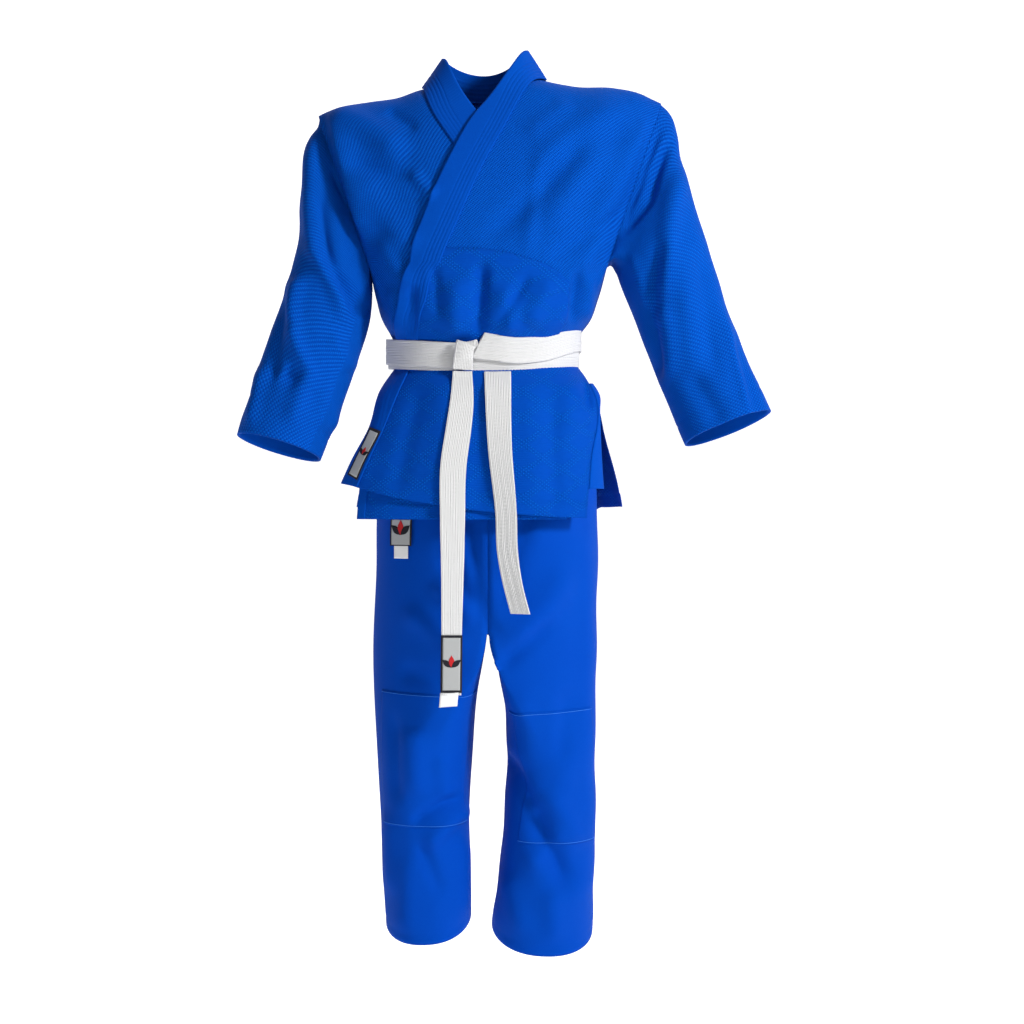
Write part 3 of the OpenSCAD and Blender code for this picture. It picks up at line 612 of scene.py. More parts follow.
def collar():
    """The collar behind the neck, from one lapel's top to the other: half an oval that dips at the nape."""
    across, turn = grid(30, 90)
    left, right = (lapel_sheet(top, np.ones((2, 30)), grid(2, 30)[1])[0] for top in (True, False))
    angle = np.radians(90 + 180 * turn)
    side = np.sin(angle)
    x = np.where(side > 0, left[:, 0][:, None] * side, right[:, 0][:, None] * -side)
    back = -np.cos(angle)
    share = (1 + side) / 2
    y = mix(56, 47, across) * back + mix(right[:, 1][:, None], left[:, 1][:, None], share) * np.abs(side)
    z = mix(right[:, 2][:, None], left[:, 2][:, None], share) - 27 * back**2
    rows = sum(bell(across * 40 - a, 1.0) for a in STITCH_ROWS)
    band = push(stack(x, y, z), (0, 0, 20), -0.5 * rows)
    sewn("collar_band", [band], band_blue, "lapel_cloth", BAND - 0.4, "jacket", ["collar_neck", "collar_core"],
         uv_rule=ring_map, centre=(0, 0, 20), rests=["shoulder_yoke"])


# ---------------------------------------------------------------- the back

NECK_SHARE = 0.336
NAPE_D = 52


def scoop(share):
    """The level of the back's upper edge, which dips behind the neck."""
    inside = np.clip(1 - (np.abs(share) / NECK_SHARE) ** 2, 0, 1)
    dip = np.degrees(np.arccos(np.clip(NAPE_D / CHEST_HALF_D * np.sqrt(inside), 0, 1))) / 90
    return np.where(np.abs(share) < NECK_SHARE, dip, 1.0)


def back_panels():
    """The back on the body's surface: rice weave up to the scooped neck, diamond weave below, and the yoke's
    lining inside."""
    r, c = grid(90, 150)
    share = mix(1, -1, c)
    v = mix(scoop(share), 0, r)
    upper = dressed(180 - angle_of(share, 1.0), v, CLOTH)
    r, c = grid(60, 190)
    lower = dressed(mix(90, 270, c), mix(0.02, -1, r), CLOTH + 0.6)
    sewn("back_rice_weave", [upper], rice_blue, "rice_weave", CLOTH, "jacket", ["jacket_back_upper"],
         uv_rule=wall_map, rests=["shoulder_yoke"])
    sewn("back_diamond_weave", [lower], diamond_blue, "diamond_weave", CLOTH, "jacket", ["jacket_back_waist"],
         rests=["back_rice_weave"])
    r, c = grid(16, 120)
    share = mix(0.94, -0.94, c)
    lining = dressed(180 - angle_of(share, 1.0), scoop(share) * mix(0.97, 0.55, r), CLOTH + (-CLOTH - 2.2))
    sewn("shoulder_yoke", [lining], plain_blue, "plain_cloth", 1.0, "jacket", ["shoulder_lining"],
         rests=["back_rice_weave"])


# ---------------------------------------------------------------- sleeves

# The outer and inner line of each arm, as (share of its length, x, z), and the arm's length along the cloth
SLEEVE_LEN = 402
ARM = {
    1: {
        "outer": [(0, 262, -15), (0.03, 271, -24), (0.06, 279, -36), (0.11, 287, -62), (0.18, 292, -98),
                  (0.32, 305, -152), (0.5, 331, -233), (0.7, 361, -333), (0.85, 391, -410), (1, 424, -482)],
        "inner": [(0, 178, -262), (0.1, 186, -258), (0.22, 193, -270), (0.35, 200, -290), (0.5, 215, -330),
                  (0.7, 246, -410), (0.85, 270, -474), (1, 294, -532)],
    },
    -1: {
        "outer": [(0, 256, -36), (0.05, 259, -50), (0.1, 267, -64), (0.16, 275, -84), (0.32, 279, -145),
                  (0.48, 280, -205), (0.64, 297, -272), (0.82, 331, -380), (1, 374, -518)],
        "inner": [(0, 178, -262), (0.1, 177, -282), (0.22, 175, -306), (0.36, 177, -335), (0.5, 184, -366),
                  (0.66, 200, -420), (0.82, 222, -482), (1, 250, -554)],
    },
}
SLEEVE_FOLDS = {
    1: [(256, -58, 222, -150, 9, -9, 2), (222, -150, 192, -205, 8, -7, 0), (241, -105, 214, -162, 6, 4, 0),
        (272, -82, 240, -168, 10, -9, 3), (240, -168, 205, -208, 9, -7, 0),
        (287, -120, 262, -330, 15, 9, 6), (262, -330, 272, -430, 13, 8, -4), (258, -230, 243, -350, 14, -8, 3),
        (243, -350, 255, -430, 12, -7, -3), (320, -250, 336, -420, 18, -5, 0), (352, -340, 386, -480, 6, 4, 0),
        (300, -430, 345, -500, 20, -6, 0), (285, -250, 300, -420, 16, 4, 0), (215, -250, 240, -330, 8, 4, 0),
        (372, -380, 400, -480, 12, -4, 0)],
    -1: [(-262, -70, -262, -240, 11, 7, 5), (-262, -240, -214, -345, 11, 9, -6), (-246, -160, -232, -275, 14, -9, 3),
         (-232, -275, -190, -335, 13, -9, -3), (-232, -120, -200, -175, 10, -6, 0),
         (-280, -285, -290, -350, 11, 8, 4), (-290, -350, -262, -425, 11, 8, 6), (-262, -425, -290, -500, 14, 6, 2),
         (-306, -310, -322, -440, 12, -7, 0), (-300, -425, -282, -440, 20, -7, 0), (-335, -420, -352, -500, 9, 6, 0),
         (-230, -370, -205, -420, 12, 5, 0), (-245, -440, -235, -510, 14, 5, 0)],
}
BACK_SLEEVE_FOLDS = {
    1: [(255, -70, 215, -200, 16, -8, 0), (290, -140, 262, -330, 18, 8, 6), (262, -330, 320, -420, 16, 8, 0),
        (300, -260, 300, -380, 16, -7, 0), (350, -360, 330, -480, 14, 6, 0)],
    -1: [(-255, -80, -215, -220, 16, -8, 0), (-280, -150, -240, -330, 18, 8, 0), (-240, -330, -300, -420, 16, 8, 0),
         (-290, -270, -290, -380, 16, -7, 0), (-320, -390, -290, -490, 14, 6, 0)],
}


def arm_ring(side, t, turn):
    """A point on a sleeve: t from armhole to cuff, turn from the front of the underarm over the top to its back
    and home along the underside. The armhole is the body's own edge; further on the section is an oval between
    the arm's outer and inner line."""
    radians = np.radians(turn)
    arch = np.where(turn <= 180, np.sin(radians), 0)
    depth = CHEST_HALF_D * depth_share(FLAT_ANGLE)
    y_hole = np.where(turn <= 180, -depth * np.cos(radians), mix(depth, -depth, (turn - 180) / 180))
    lines = (np.array(ARM[side][edge]) for edge in ("outer", "inner"))
    o, i = (stack(through(t, line[:, [0, 1]]), 0, through(t, line[:, [0, 2]])) for line in lines)
    hole = i + (o - i) * arch[..., None] + stack(0 * t, y_hole * 0.97 - 80 * t, 0 * t)
    tau = np.radians(np.where(turn <= 180, mix(-50, 230, turn / 180), mix(230, 310, (turn - 180) / 180)))
    half_depth = mix(68, 52, smooth(t)) * (1 + 0.08 * np.sin(t * 3.1))
    middle = (o + i) / 2 + stack(0 * t, -80 * t, 0 * t)
    ahead = np.array([0, -0.97, 0.22])
    oval = middle + (o - i) / 2 * np.sin(tau)[..., None] + ahead * (half_depth * np.cos(tau))[..., None]
    return hole + (oval - hole) * smooth(t / 0.42)[..., None]


def sleeve_sheet(side, t, turn, inwards=0.0):
    """A closed tube of arm rings, raised by the folds of its front or back, with two rows of stitching at the
    cuff."""
    p = arm_ring(side, t, turn)
    p[..., 0] *= side
    n = normals(p, p.mean(1, keepdims=True))
    front = smooth((0.25 - n[..., 1]) / 0.5)
    fold = folds(p, SLEEVE_FOLDS[side]) * front + folds(p, BACK_SLEEVE_FOLDS[side]) * (1 - front)
    fold = (1.3 * fold + ripple(p, 80, 2.0, 11 + side)) * smooth(t / 0.06)
    from_cuff = (1 - t) * SLEEVE_LEN
    hem = -0.7 * bell(from_cuff - 30, 1.2) - 0.5 * bell(from_cuff - 26, 1.2)
    tube = p + n * (fold + hem - inwards)[..., None]
    tube[:, -1] = tube[:, 0]
    return tube


def sleeve(side, name):
    """A sleeve, its cuff's hem and its gusset. The sleeve and the gusset are only fixed in place; the bend given for
    them, which starts below the underarm, is not applied.
    """
    start = (side * 0.242, -0.01, -0.208)
    end = (side * (0.330 if side > 0 else 0.292), -0.05, -0.430)
    bend = ("jacket", f"{name}_arm", start, end)
    r, c = grid(150, 130)
    tube = sleeve_sheet(side, r, 360 * c)
    sewn(f"{name}_sleeve_rice_weave", [tube], rice_blue, "rice_weave", CLOTH, None, [f"{name}_sleeve"],
         centre=tube.mean(1, keepdims=True), uv_rule=tube_map, blend=bend, rests=[f"{name}_front_rice_weave"])
    r, c = grid(10, 130)
    ring = sleeve_sheet(side, mix(1, 0.925, r), 360 * c, CLOTH + 0.5)
    sewn(f"{name}_cuff_hem", [ring], plain_blue, "plain_cloth", 1.0, f"{name}_arm", [f"{name}_cuff_facing"],
         centre=ring.mean(1, keepdims=True), uv_rule=ring_map, rests=[f"{name}_sleeve_rice_weave"])
    r, c = grid(16, 14)
    patch = arm_ring(side, mix(0.03, 0.2, r), mix(215, 325, c))
    patch[..., 0] *= side
    patch[..., 2] += CLOTH + 1.5
    sewn(f"{name}_underarm_gusset", [patch], plain_blue, "plain_cloth", 1.0, None, [f"{name}_gusset"],
         centre=(side * 240, 0, -150), uv_rule=ring_map, blend=bend, rests=[f"{name}_sleeve_rice_weave"])


# ---------------------------------------------------------------- the skirt of the jacket

FRONT_FLAP = ("jacket", "front_flap", (0, -0.12, -0.424), (0, -0.12, -0.50))
BACK_FLAP = ("jacket", "back_flap", (0, 0.1, -0.424), (0, 0.1, -0.50))


def oval(x, half_w, half_d):
    """The depth at x of an oval of those half sizes."""
    return half_d * (1 - np.clip(np.abs(x) / half_w, 0, 0.992) ** ROUND) ** (1 / ROUND)


# Half depth of the skirt, and half widths of its left and right front, by level
SKIRT_D = [(-640, 136), (-560, 131), (-470, 121), (-440, 111), (-426, 102), (-414, 96), (-400, 94)]
LEFT_W = [(-645, 186), (-600, 184), (-500, 181), (-459, 176), (-440, 160), (-426, 143), (-414, 130), (-402, 126)]
RIGHT_W = [(-645, 246), (-592, 236), (-510, 198), (-483, 184), (-450, 165), (-426, 143), (-414, 130), (-402, 126)]
SKIRT_FOLDS = [
    (140, -424, 152, -478, 8, -9, 0), (118, -430, 125, -520, 16, 4, 0), (60, -440, 66, -620, 22, 4, 0),
    (95, -470, 100, -630, 14, -3, 0), (-62, -430, -70, -610, 22, 4, 0), (-100, -450, -135, -600, 18, -4, 0),
    (-20, -440, -10, -640, 20, -4, 0), (20, -430, 26, -640, 18, 4, 0), (-150, -430, -190, -590, 12, 3, 0),
]


def skirt_sheet(x, z, out):
    """Points on the skirt's front: an oval section that flares to the hem, with folds hanging from the belt."""
    wide = np.where(x > 0, through(z, LEFT_W), through(z, RIGHT_W))
    p = stack(x, -oval(x, wide + out, through(z, SKIRT_D) + out), z)
    wave = folds(p, SKIRT_FOLDS) + ripple(p, 80, 1.2, 5)
    p[..., 1] -= wave * smooth((BELOW_BELT_Z - z) / 30)
    return p


def top_hem(x):
    """The level of the top front's hem."""
    return through(x, [(-222, -588), (-150, -608), (-72, -622), (40, -635), (150, -641), (182, -641)])


# By level: the lapel's free and sewn edge, the side band's stitching and the vent on the top front, and the
# outer edge of the under front
TOP_FREE_X = [(-596, -220), (-560, -204), (-510, -178), (-450, -161), (-425, -146), (-402, -132)]
TOP_SEWN_X = [(-600, -197), (-560, -179), (-510, -156), (-450, -132), (-425, -121), (-402, -110)]
STITCH_X = [(-641, 147), (-560, 153), (-459, 160), (-430, 146), (-402, 126)]
VENT_X = [(-600, 174), (-560, 171), (-480, 168), (-459, 168), (-430, 150), (-402, 126)]
UNDER_EDGE_X = [(-643, -187), (-605, -184), (-500, -166), (-450, -150), (-425, -138), (-402, -124)]


def hem_ridge(distance, width=22):
    """A turned hem: a slightly raised margin that ends at a groove of stitching."""
    return 0.8 * (1 - smooth((distance - width + 1) / 2)) - 0.8 * bell(distance - width, 1.1)


def flap(name, p, material, slot, thick, node, rests, **more):
    """A piece of the front skirt, fixed in place; the front flap's bend given for it is not applied."""
    sewn(name, [p], material, slot, thick, None, [node], blend=FRONT_FLAP, rests=[rests], **more)


def front_skirts():
    """The top front's panel, lapel end and side band, and then the same three of the under front."""
    top_out = TOP_LIFT + CLOTH
    r, c = grid(84, 110)
    z = mix(SKIRT_START_Z, -636, r)
    for _ in range(3):  # the hem's level goes by x, and the edges' x by level
        x = mix(through(z, TOP_SEWN_X) - 8, through(z, STITCH_X), c)
        z = mix(SKIRT_START_Z, top_hem(x), r)
    panel = skirt_sheet(x, z, top_out + hem_ridge(z - top_hem(x)))
    flap("left_skirt_diamond_weave", panel, diamond_blue, "diamond_weave", CLOTH, "left_front_skirt",
         "belt_wrap_upper")
    r, c = grid(84, 26)
    z = mix(SKIRT_START_Z, -596, r)
    x = mix(through(z, TOP_FREE_X), through(z, TOP_SEWN_X), c)
    z = mix(SKIRT_START_Z, mix(-590, -595, c), r)
    wide = (x - x[:, :1]) + 1e-6
    rows = sum(bell(wide - a, 0.8) for a in (20, 14))
    strip = skirt_sheet(x, z, top_out + BAND + LAYER - 0.4 * rows - 1.0 * np.exp(-wide / 1.5))
    flap("left_lapel_tail", strip, band_blue, "lapel_cloth", BAND, "left_lapel_end", "left_skirt_diamond_weave",
         uv_rule=ring_map)
    r, c = grid(60, 12)
    z = mix(-440, -598, r)
    x = mix(through(z, STITCH_X) + 1, through(z, VENT_X), c)
    band = skirt_sheet(x, z, top_out + 1.0 - 0.8 * bell(c * 20 - 1, 1.0))
    flap("left_side_band", band, plain_blue, "plain_cloth", CLOTH, "left_vent_band", "left_skirt_diamond_weave")
    under_hem = -643
    r, c = grid(84, 100)
    z = mix(SKIRT_START_Z, under_hem, r)
    under = skirt_sheet(mix(through(z, UNDER_EDGE_X), 118, c), z, CLOTH + hem_ridge(z - under_hem))
    flap("right_skirt_diamond_weave", under, diamond_blue, "diamond_weave", CLOTH, "right_front_skirt",
         "belt_wrap_upper")
    r, c = grid(84, 8)
    z = mix(-440, under_hem, r)
    edge = through(z, UNDER_EDGE_X)
    side_band = skirt_sheet(mix(edge - 8, edge + 4, c), z, CLOTH + 1.2)
    flap("right_side_band", side_band, plain_blue, "plain_cloth", CLOTH, "right_vent_band",
         "right_skirt_diamond_weave")
    r, c = grid(60, 10)
    z = mix(SKIRT_START_Z, -640, r)
    inner_band = skirt_sheet(mix(92, 118, c) + (z - SKIRT_START_Z) * -0.06, z, CLOTH + LAYER + 1.6)
    flap("right_lapel_tail", inner_band, band_blue, "lapel_cloth", 1.5, "right_lapel_end",
         "right_skirt_diamond_weave")


BACK_W = [(-645, 203), (-610, 197), (-560, 186), (-510, 174), (-478, 168), (-450, 156), (-426, 140), (-414, 130),
          (-402, 126)]


def back_skirt():
    """The back of the skirt: half an oval that flares, its lower corners a little raised."""
    r, c = grid(84, 170)
    angle = mix(-87, 87, c)
    low = -640 + 13 * smooth((np.abs(angle) - 40) / 22)
    z = mix(SKIRT_START_Z, low, r)
    turn = np.radians(angle)
    x = through(z, BACK_W) * power(np.sin(turn), 2 / ROUND)
    y = (through(z, SKIRT_D) + 2) * np.cos(turn) ** (2 / ROUND)
    p = stack(x, y, z)
    wave = 5 * np.sin(turn * 9 + 1) * smooth((BELOW_BELT_Z - z) / 200) + ripple(p, 80, 1.2, 8)
    sheet = push(p, (0, 0, -500), wave + hem_ridge(z - low))
    sewn("back_skirt_diamond_weave", [sheet], diamond_blue, "diamond_weave", CLOTH, None, ["back_skirt"],
         blend=BACK_FLAP, rests=["belt_wrap_upper"])
    r, c = grid(12, 12)
    z = mix(-446, -478, r)
    turn = np.radians(mix(70, 86, c))
    y = (through(z, SKIRT_D) + 4) * np.cos(turn) ** (2 / ROUND)
    for side, name in SIDES:
        x = side * (through(z, BACK_W) + 2.2) * np.sin(turn) ** (2 / ROUND)
        sewn(f"{name}_vent_stay", [stack(x, y, z)], plain_blue, "plain_cloth", 1.0, None, [f"{name}_vent_patch"],
             blend=BACK_FLAP, rests=["back_skirt_diamond_weave"])


# ---------------------------------------------------------------- the belt

BELT_LEVEL = (BELT_LOW_Z + BELT_W / 2 - CHEST_Z) / WAIST_LEN
STRAP_COLS = 46


def belt_cloth(name, strap, body, nodes, held, rests, centre=(0, 0, -400)):
    sewn(name, [strap], belt_white, "belt_cloth", WEBBING, body, nodes, centre=centre, uv_rule=ring_map, held=held,
         rests=[rests])


def strap_frame(path, across):
    """The way across a strap, made square to its run, and the way out of its face, towards the front."""
    run = unit(np.gradient(path, axis=0))
    across = unit(across - run * np.sum(across * run, 1, keepdims=True))
    out = unit(np.cross(run, across))
    return across, out * np.sign(-out[:, 1:2])


def webbing(centre, across, out, width):
    """A strap: a line of centre points, the way across it and the way out of it at each; its face has nine rows
    of stitching with fine puckers between them."""
    c = np.linspace(-0.5, 0.5, STRAP_COLS)
    width = np.broadcast_to(width, len(centre))
    p = centre[:, None] + across[:, None] * (c[None, :] * width[:, None])[..., None]
    distance = (c[None, :] + 0.5) * width[:, None]
    along = np.concatenate([[0], np.cumsum(np.linalg.norm(np.diff(centre, axis=0), axis=1))])
    along = along[:, None]
    row = np.round(distance / 4.4)
    crease = np.sin(along * 2 * np.pi / 5.2 + row * 1.3 + 1.5 * np.sin(along / 17 + row))
    relief = stitched(distance, width[:, None], 9, 0.45)
    relief = relief + 0.32 * crease * (0.6 + 0.4 * np.sin(along / 11 + row * 2))
    relief = relief - 0.9 * (np.exp(-distance / 0.9) + np.exp(-(width[:, None] - distance) / 0.9))
    return p + out[:, None] * relief[..., None]


def belt_path(angles, z, out):
    """A line round the waist at levels z, and the level way out of the body at each point."""
    p = body_out(angles, BELT_LEVEL, out)
    p[:, 2] = z
    way = p - body(angles, BELT_LEVEL)
    way[:, 2] = 0
    return p, unit(way)


def lie(way_out, path):
    """The way across a strap: square to its run and to the way out of it."""
    run = unit(np.gradient(path, axis=0))
    return unit(np.cross(way_out, run))


def belt():
    """Two turns of webbing round the waist; the upper one rises to the left of the knot and ends in a slanted
    fold."""
    top_out = TOP_LIFT + CLOTH + LAYER + BAND + 1.4
    angles = np.linspace(-10, 350, 420)
    level = through(angles, [(-10, -404), (0, -404.5), (30, -403), (90, -401), (180, -399), (270, -397), (350, -404)])
    path, out = belt_path(angles, level, top_out + WEBBING)
    inner = webbing(path, lie(out, path), out, BELT_W)
    belt_cloth("belt_wrap_lower", inner, "jacket", ["belt_wrap_inner"], "stretched", "left_front_diamond_weave")
    angles = np.linspace(-4, 348, 420)
    level = through(angles, [(-4, -385), (12, -392), (32, -389), (52, -379), (75, -372), (100, -374), (180, -385),
                             (270, -391), (325, -397), (348, -401)])
    path, out = belt_path(angles, level, top_out + 2 * WEBBING + 0.6)
    path[:, 1] -= 3.0 * bell(angles - 5, 14)
    outer = webbing(path, lie(out, path), out, BELT_W * 0.97)
    slant = np.clip(1 - np.abs(angles + 4) / 9, 0, 1)[:, None] * np.linspace(1, -1, STRAP_COLS)[None, :]
    outer[..., 0] += slant * -8
    belt_cloth("belt_wrap_upper", outer, "jacket", ["belt_wrap_outer", "belt_knot_cross"], "stretched",
               "belt_wrap_lower")


def knot():
    """The knot: one strand rolls over the wraps and comes down in front as the long tail, and the other comes
    out beneath them as the short tail."""
    s = np.linspace(0, 1, 90)
    y = through(s, [(0, -106), (0.1, -112), (0.22, -121), (0.4, -124.5), (0.75, -121), (1, -116.8)])
    z = through(s, [(0, -396), (0.1, -385), (0.22, -380), (0.4, -386), (0.75, -405), (1, -421)])
    x = through(s, [(0, -28), (0.15, -29.5), (0.4, -33.5), (0.7, -36), (1, -37.5)])
    middle = 45
    path = stack(x, y, z)
    wide = through(s, [(0, 28), (0.2, 30), (0.45, 29), (0.75, 29), (1, 30)])
    tilt = 0.24 * (1 - smooth(s / 0.8))
    across = np.stack([np.cos(tilt), 0 * s, np.sin(tilt)], 1)
    run = unit(np.gradient(path, axis=0))
    out = unit(np.cross(across, run))
    out = out * np.sign(-out[middle, 1])
    across = unit(np.cross(run, out))
    across = across * np.sign(across[middle, 0])
    roll = webbing(path, across, out, wide)
    bulge = np.linspace(-1, 1, STRAP_COLS)[None, :] ** 2
    roll[..., 1] += 3.0 * bulge * (smooth(s / 0.3) * (1 - smooth((s - 0.6) / 0.4)))[:, None]
    belt_cloth("knot_rolled_strand", roll, "jacket", ["belt_knot_over"], "folded", "belt_wrap_upper", (0, -60, -400))
    s = np.linspace(0, 1, 60)
    path = stack(mix(6, 14.5, s), mix(-104.5, -106.5, s), mix(-396, -423, s))
    under = webbing(path, np.tile([1.0, 0, 0], (60, 1)), np.tile([0, -1.0, 0], (60, 1)), 41)
    belt_cloth("knot_under_strand", under, "jacket", ["belt_knot_under"], "folded", "belt_wrap_lower")


TAIL_TOP_Z = -423.5
SKIRT_LOW_Z = -640


def tail(name, node, end_z, x_stops, width_stops, twist_stops, front, slant=0.0):
    """A hanging tail: its centre line follows the skirt and then hangs clear; width and twist go by height."""
    z = np.linspace(TAIL_TOP_Z, end_z, 260)
    x = through(z, x_stops)
    wide = through(z, width_stops)
    near = x[:, None] + wide[:, None] * np.linspace(-0.6, 0.6, 9)
    skirt = skirt_sheet(near, np.maximum(z, SKIRT_LOW_Z)[:, None] + 0 * near, TOP_LIFT + CLOTH)[..., 1].min(1)
    y = np.minimum(skirt - WEBBING - 1.4, front) - (1 - np.cos((TAIL_TOP_Z - z) / 60))
    at_hem = y[np.searchsorted(-z, -SKIRT_LOW_Z)]
    y = np.where(z < SKIRT_LOW_Z, at_hem + smooth((SKIRT_LOW_Z - z) / 250) * 12, y)
    path = stack(x, y, z)
    turn = through(z, twist_stops)
    across, out = strap_frame(path, np.stack([np.cos(turn), np.sin(turn), 0 * turn], 1))
    strap = webbing(path, across, out, wide)
    towards_end = smooth((TAIL_TOP_Z - z) / (TAIL_TOP_Z - end_z))[:, None]
    strap[..., 2] += np.linspace(1, -1, STRAP_COLS)[None, :] * slant * towards_end**6
    belt_cloth(f"belt_{name}", strap, name, [node], "hung", "left_skirt_diamond_weave", (x.mean(), 0, z.mean()))
    return path, across, out


def label_on(name, path, across, out, width, low, high, body, nodes):
    """A woven label on a strap or panel: a dark border, a silver field and a plain sprig of three leaves."""
    rows = 40
    place = np.interp(np.linspace(high, low, rows), path[::-1, 2], np.arange(len(path))[::-1]).astype(int)
    base, side, way = path[place], across[place], out[place]

    def patch(piece, w, margin, offset, material):
        c = np.linspace(-0.5, 0.5, 12)
        keep = slice(margin, rows - margin)
        p = base[keep, None] + side[keep, None] * (c[None, :, None] * w) + way[keep, None] * offset
        return sewn(piece, [p], material, "label", 0.5, body, nodes if piece == name else (),
                    centre=(base[:, 0].mean(), 0, base[:, 2].mean()), uv_rule=ring_map)

    patch(name, width, 0, 1.0, label_black)
    patch(f"{name}_field", width - 6, 2, 1.4, label_silver)
    middle, sideways, outwards = base[rows // 2], side[rows // 2], way[rows // 2]
    up = unit(np.cross(outwards, sideways))
    up = up * np.sign(up[2])
    for k, lean in enumerate((-50, 0, 50)):
        s, c = grid(10, 7)
        long, fat = width * 0.55, width * 0.13
        way_up = np.cos(np.radians(lean)) * up + np.sin(np.radians(lean)) * sideways
        way_side = np.cross(outwards, way_up)
        leaf = (middle - up * width * 0.1 + way_up * (s * long)[..., None]
                + way_side * ((c - 0.5) * 2 * fat * np.sin(np.pi * np.clip(s, 0.02, 0.98)))[..., None]
                + outwards * (1.9 + 0.05 * k))
        sewn(f"{name}_leaf_{k + 1}", [leaf], label_red if k == 1 else label_black, "label", 0.3, body,
             centre=(middle[0], 0, middle[2]), uv_rule=ring_map, sheet=False)


def belt_tails():
    """Both tails, with the long one's woven label and the size tag under it."""
    long_x = [(-925, -54), (-820, -53), (-700, -51.5), (-640, -51.5), (-560, -50), (-510, -43), (-465, -38),
              (-424, -37.5)]
    wide = [(-925, 30), (-830, 30), (-760, 32), (-640, 37), (-540, 38.5), (-480, 36), (-424, 29)]
    long_end = reach("belt_tail_long")[0][2]
    path, across, out = tail("long_tail", "belt_tail_long", long_end, long_x, wide,
                             [(-925, 0.1), (-600, 0.05), (-424, 0.0)], -116.8)
    label_on("belt_woven_label", path, across, out, 32, long_end + 2, long_end + 88, "long_tail", ["belt_label"])
    tag_low = reach("belt_size_tag")[0][2]
    r, c = grid(12, 10)
    end = path[-1]
    tag = stack(end[0] - 16 + 27 * c - 2 * r, end[1] - 0.5 + 0 * c, mix(long_end + 4, tag_low + 8, r) + 2 * c * r)
    sewn("belt_tag", [tag], tag_white, "tag", 0.5, "long_tail", ["belt_size_tag"], centre=(0, 0, tag_low))
    short_x = [(-786, 49), (-735, 36), (-690, 29), (-636, 27), (-537, 18), (-424, 14.5)]
    wide = [(-786, 33), (-735, 32), (-690, 33), (-636, 33), (-537, 36), (-424, 40)]
    short_end = reach("belt_tail_short")[0][2]
    tail("short_tail", "belt_tail_short", short_end, short_x, wide, [(-786, -0.4), (-600, -0.25), (-424, 0)],
         -112, slant=3.5)


# ---------------------------------------------------------------- trousers

# Outer and inner line of each leg and the half depth of both, by level
LEG = {
    1: {"outer": [(-1290, 157), (-1247, 159), (-1200, 160), (-1067, 161), (-906, 163), (-768, 165), (-640, 166),
                  (-560, 160), (-480, 140), (-398, 112), (-360, 111)],
        "inner": [(-1290, 4), (-1247, 6), (-1205, 13), (-1136, 20), (-1067, 26), (-1000, 29), (-944, 26),
                  (-870, 15), (-830, 5), (-812, 1.5)]},
    -1: {"outer": [(-1290, 153), (-1247, 155), (-1190, 159), (-1090, 164), (-1000, 169), (-915, 173), (-840, 174),
                   (-720, 171), (-640, 169), (-560, 160), (-480, 140), (-398, 112), (-360, 111)],
         "inner": [(-1290, 27), (-1225, 27), (-1160, 27), (-1095, 28), (-1005, 25), (-915, 18), (-860, 8), (-830, 3),
                   (-812, 1.5)]},
}
LEG_D = [(-1290, 84), (-1200, 86), (-1050, 92), (-950, 100), (-860, 110), (-780, 115), (-655, 115), (-560, 108),
         (-480, 92), (-398, 79), (-360, 79)]
LEG_FOLDS = {
    1: [(35, -830, 120, -720, 22, 6, 6), (20, -860, 90, -800, 14, -5, 0), (50, -900, 60, -1010, 20, 4, 0),
        (28, -1000, 62, -1070, 16, -8, 0), (62, -1070, 125, -1190, 22, -11, 4), (90, -1050, 140, -1130, 18, 5, 0),
        (150, -700, 152, -1200, 12, 4, 0), (30, -1180, 50, -1260, 16, 4, 0), (120, -900, 110, -1000, 20, -4, 0),
        (95, -1200, 100, -1270, 16, 4, 0), (60, -660, 130, -640, 20, 3, 0), (60, -620, 20, -760, 18, -4, 0),
        (110, -1110, 60, -1160, 16, 4, 0)],
    -1: [(-22, -790, -80, -740, 14, 6, 3), (-30, -760, -70, -700, 9, -5, 0), (-20, -730, -55, -660, 10, 5, 0),
         (-12, -700, -30, -640, 7, -5, 0), (-40, -840, -120, -780, 18, 5, 0), (-60, -880, -130, -870, 18, -4, 0),
         (-110, -960, -105, -1050, 18, 5, 0), (-140, -940, -135, -1060, 12, -4, 0), (-30, -1080, -90, -1130, 14, 7, 4),
         (-45, -1060, -110, -1095, 12, -5, 3), (-100, -1130, -70, -1200, 14, -4, 0), (-35, -1130, -40, -1240, 14, 4, 0),
         (-120, -1150, -125, -1260, 18, 4, 0), (-70, -1000, -60, -1060, 14, 4, 0),
         (-150, -1090, -145, -1200, 12, 4, 0)],
}


def leg_hem(side, angle):
    """The hem dips in front: the level at an angle, 0 in front."""
    side_z, dip = (-1262, 34) if side > 0 else (-1251, 28)
    return side_z - dip * np.maximum(np.cos(np.radians(angle)), -0.1) - 5 * np.sin(np.radians(angle))


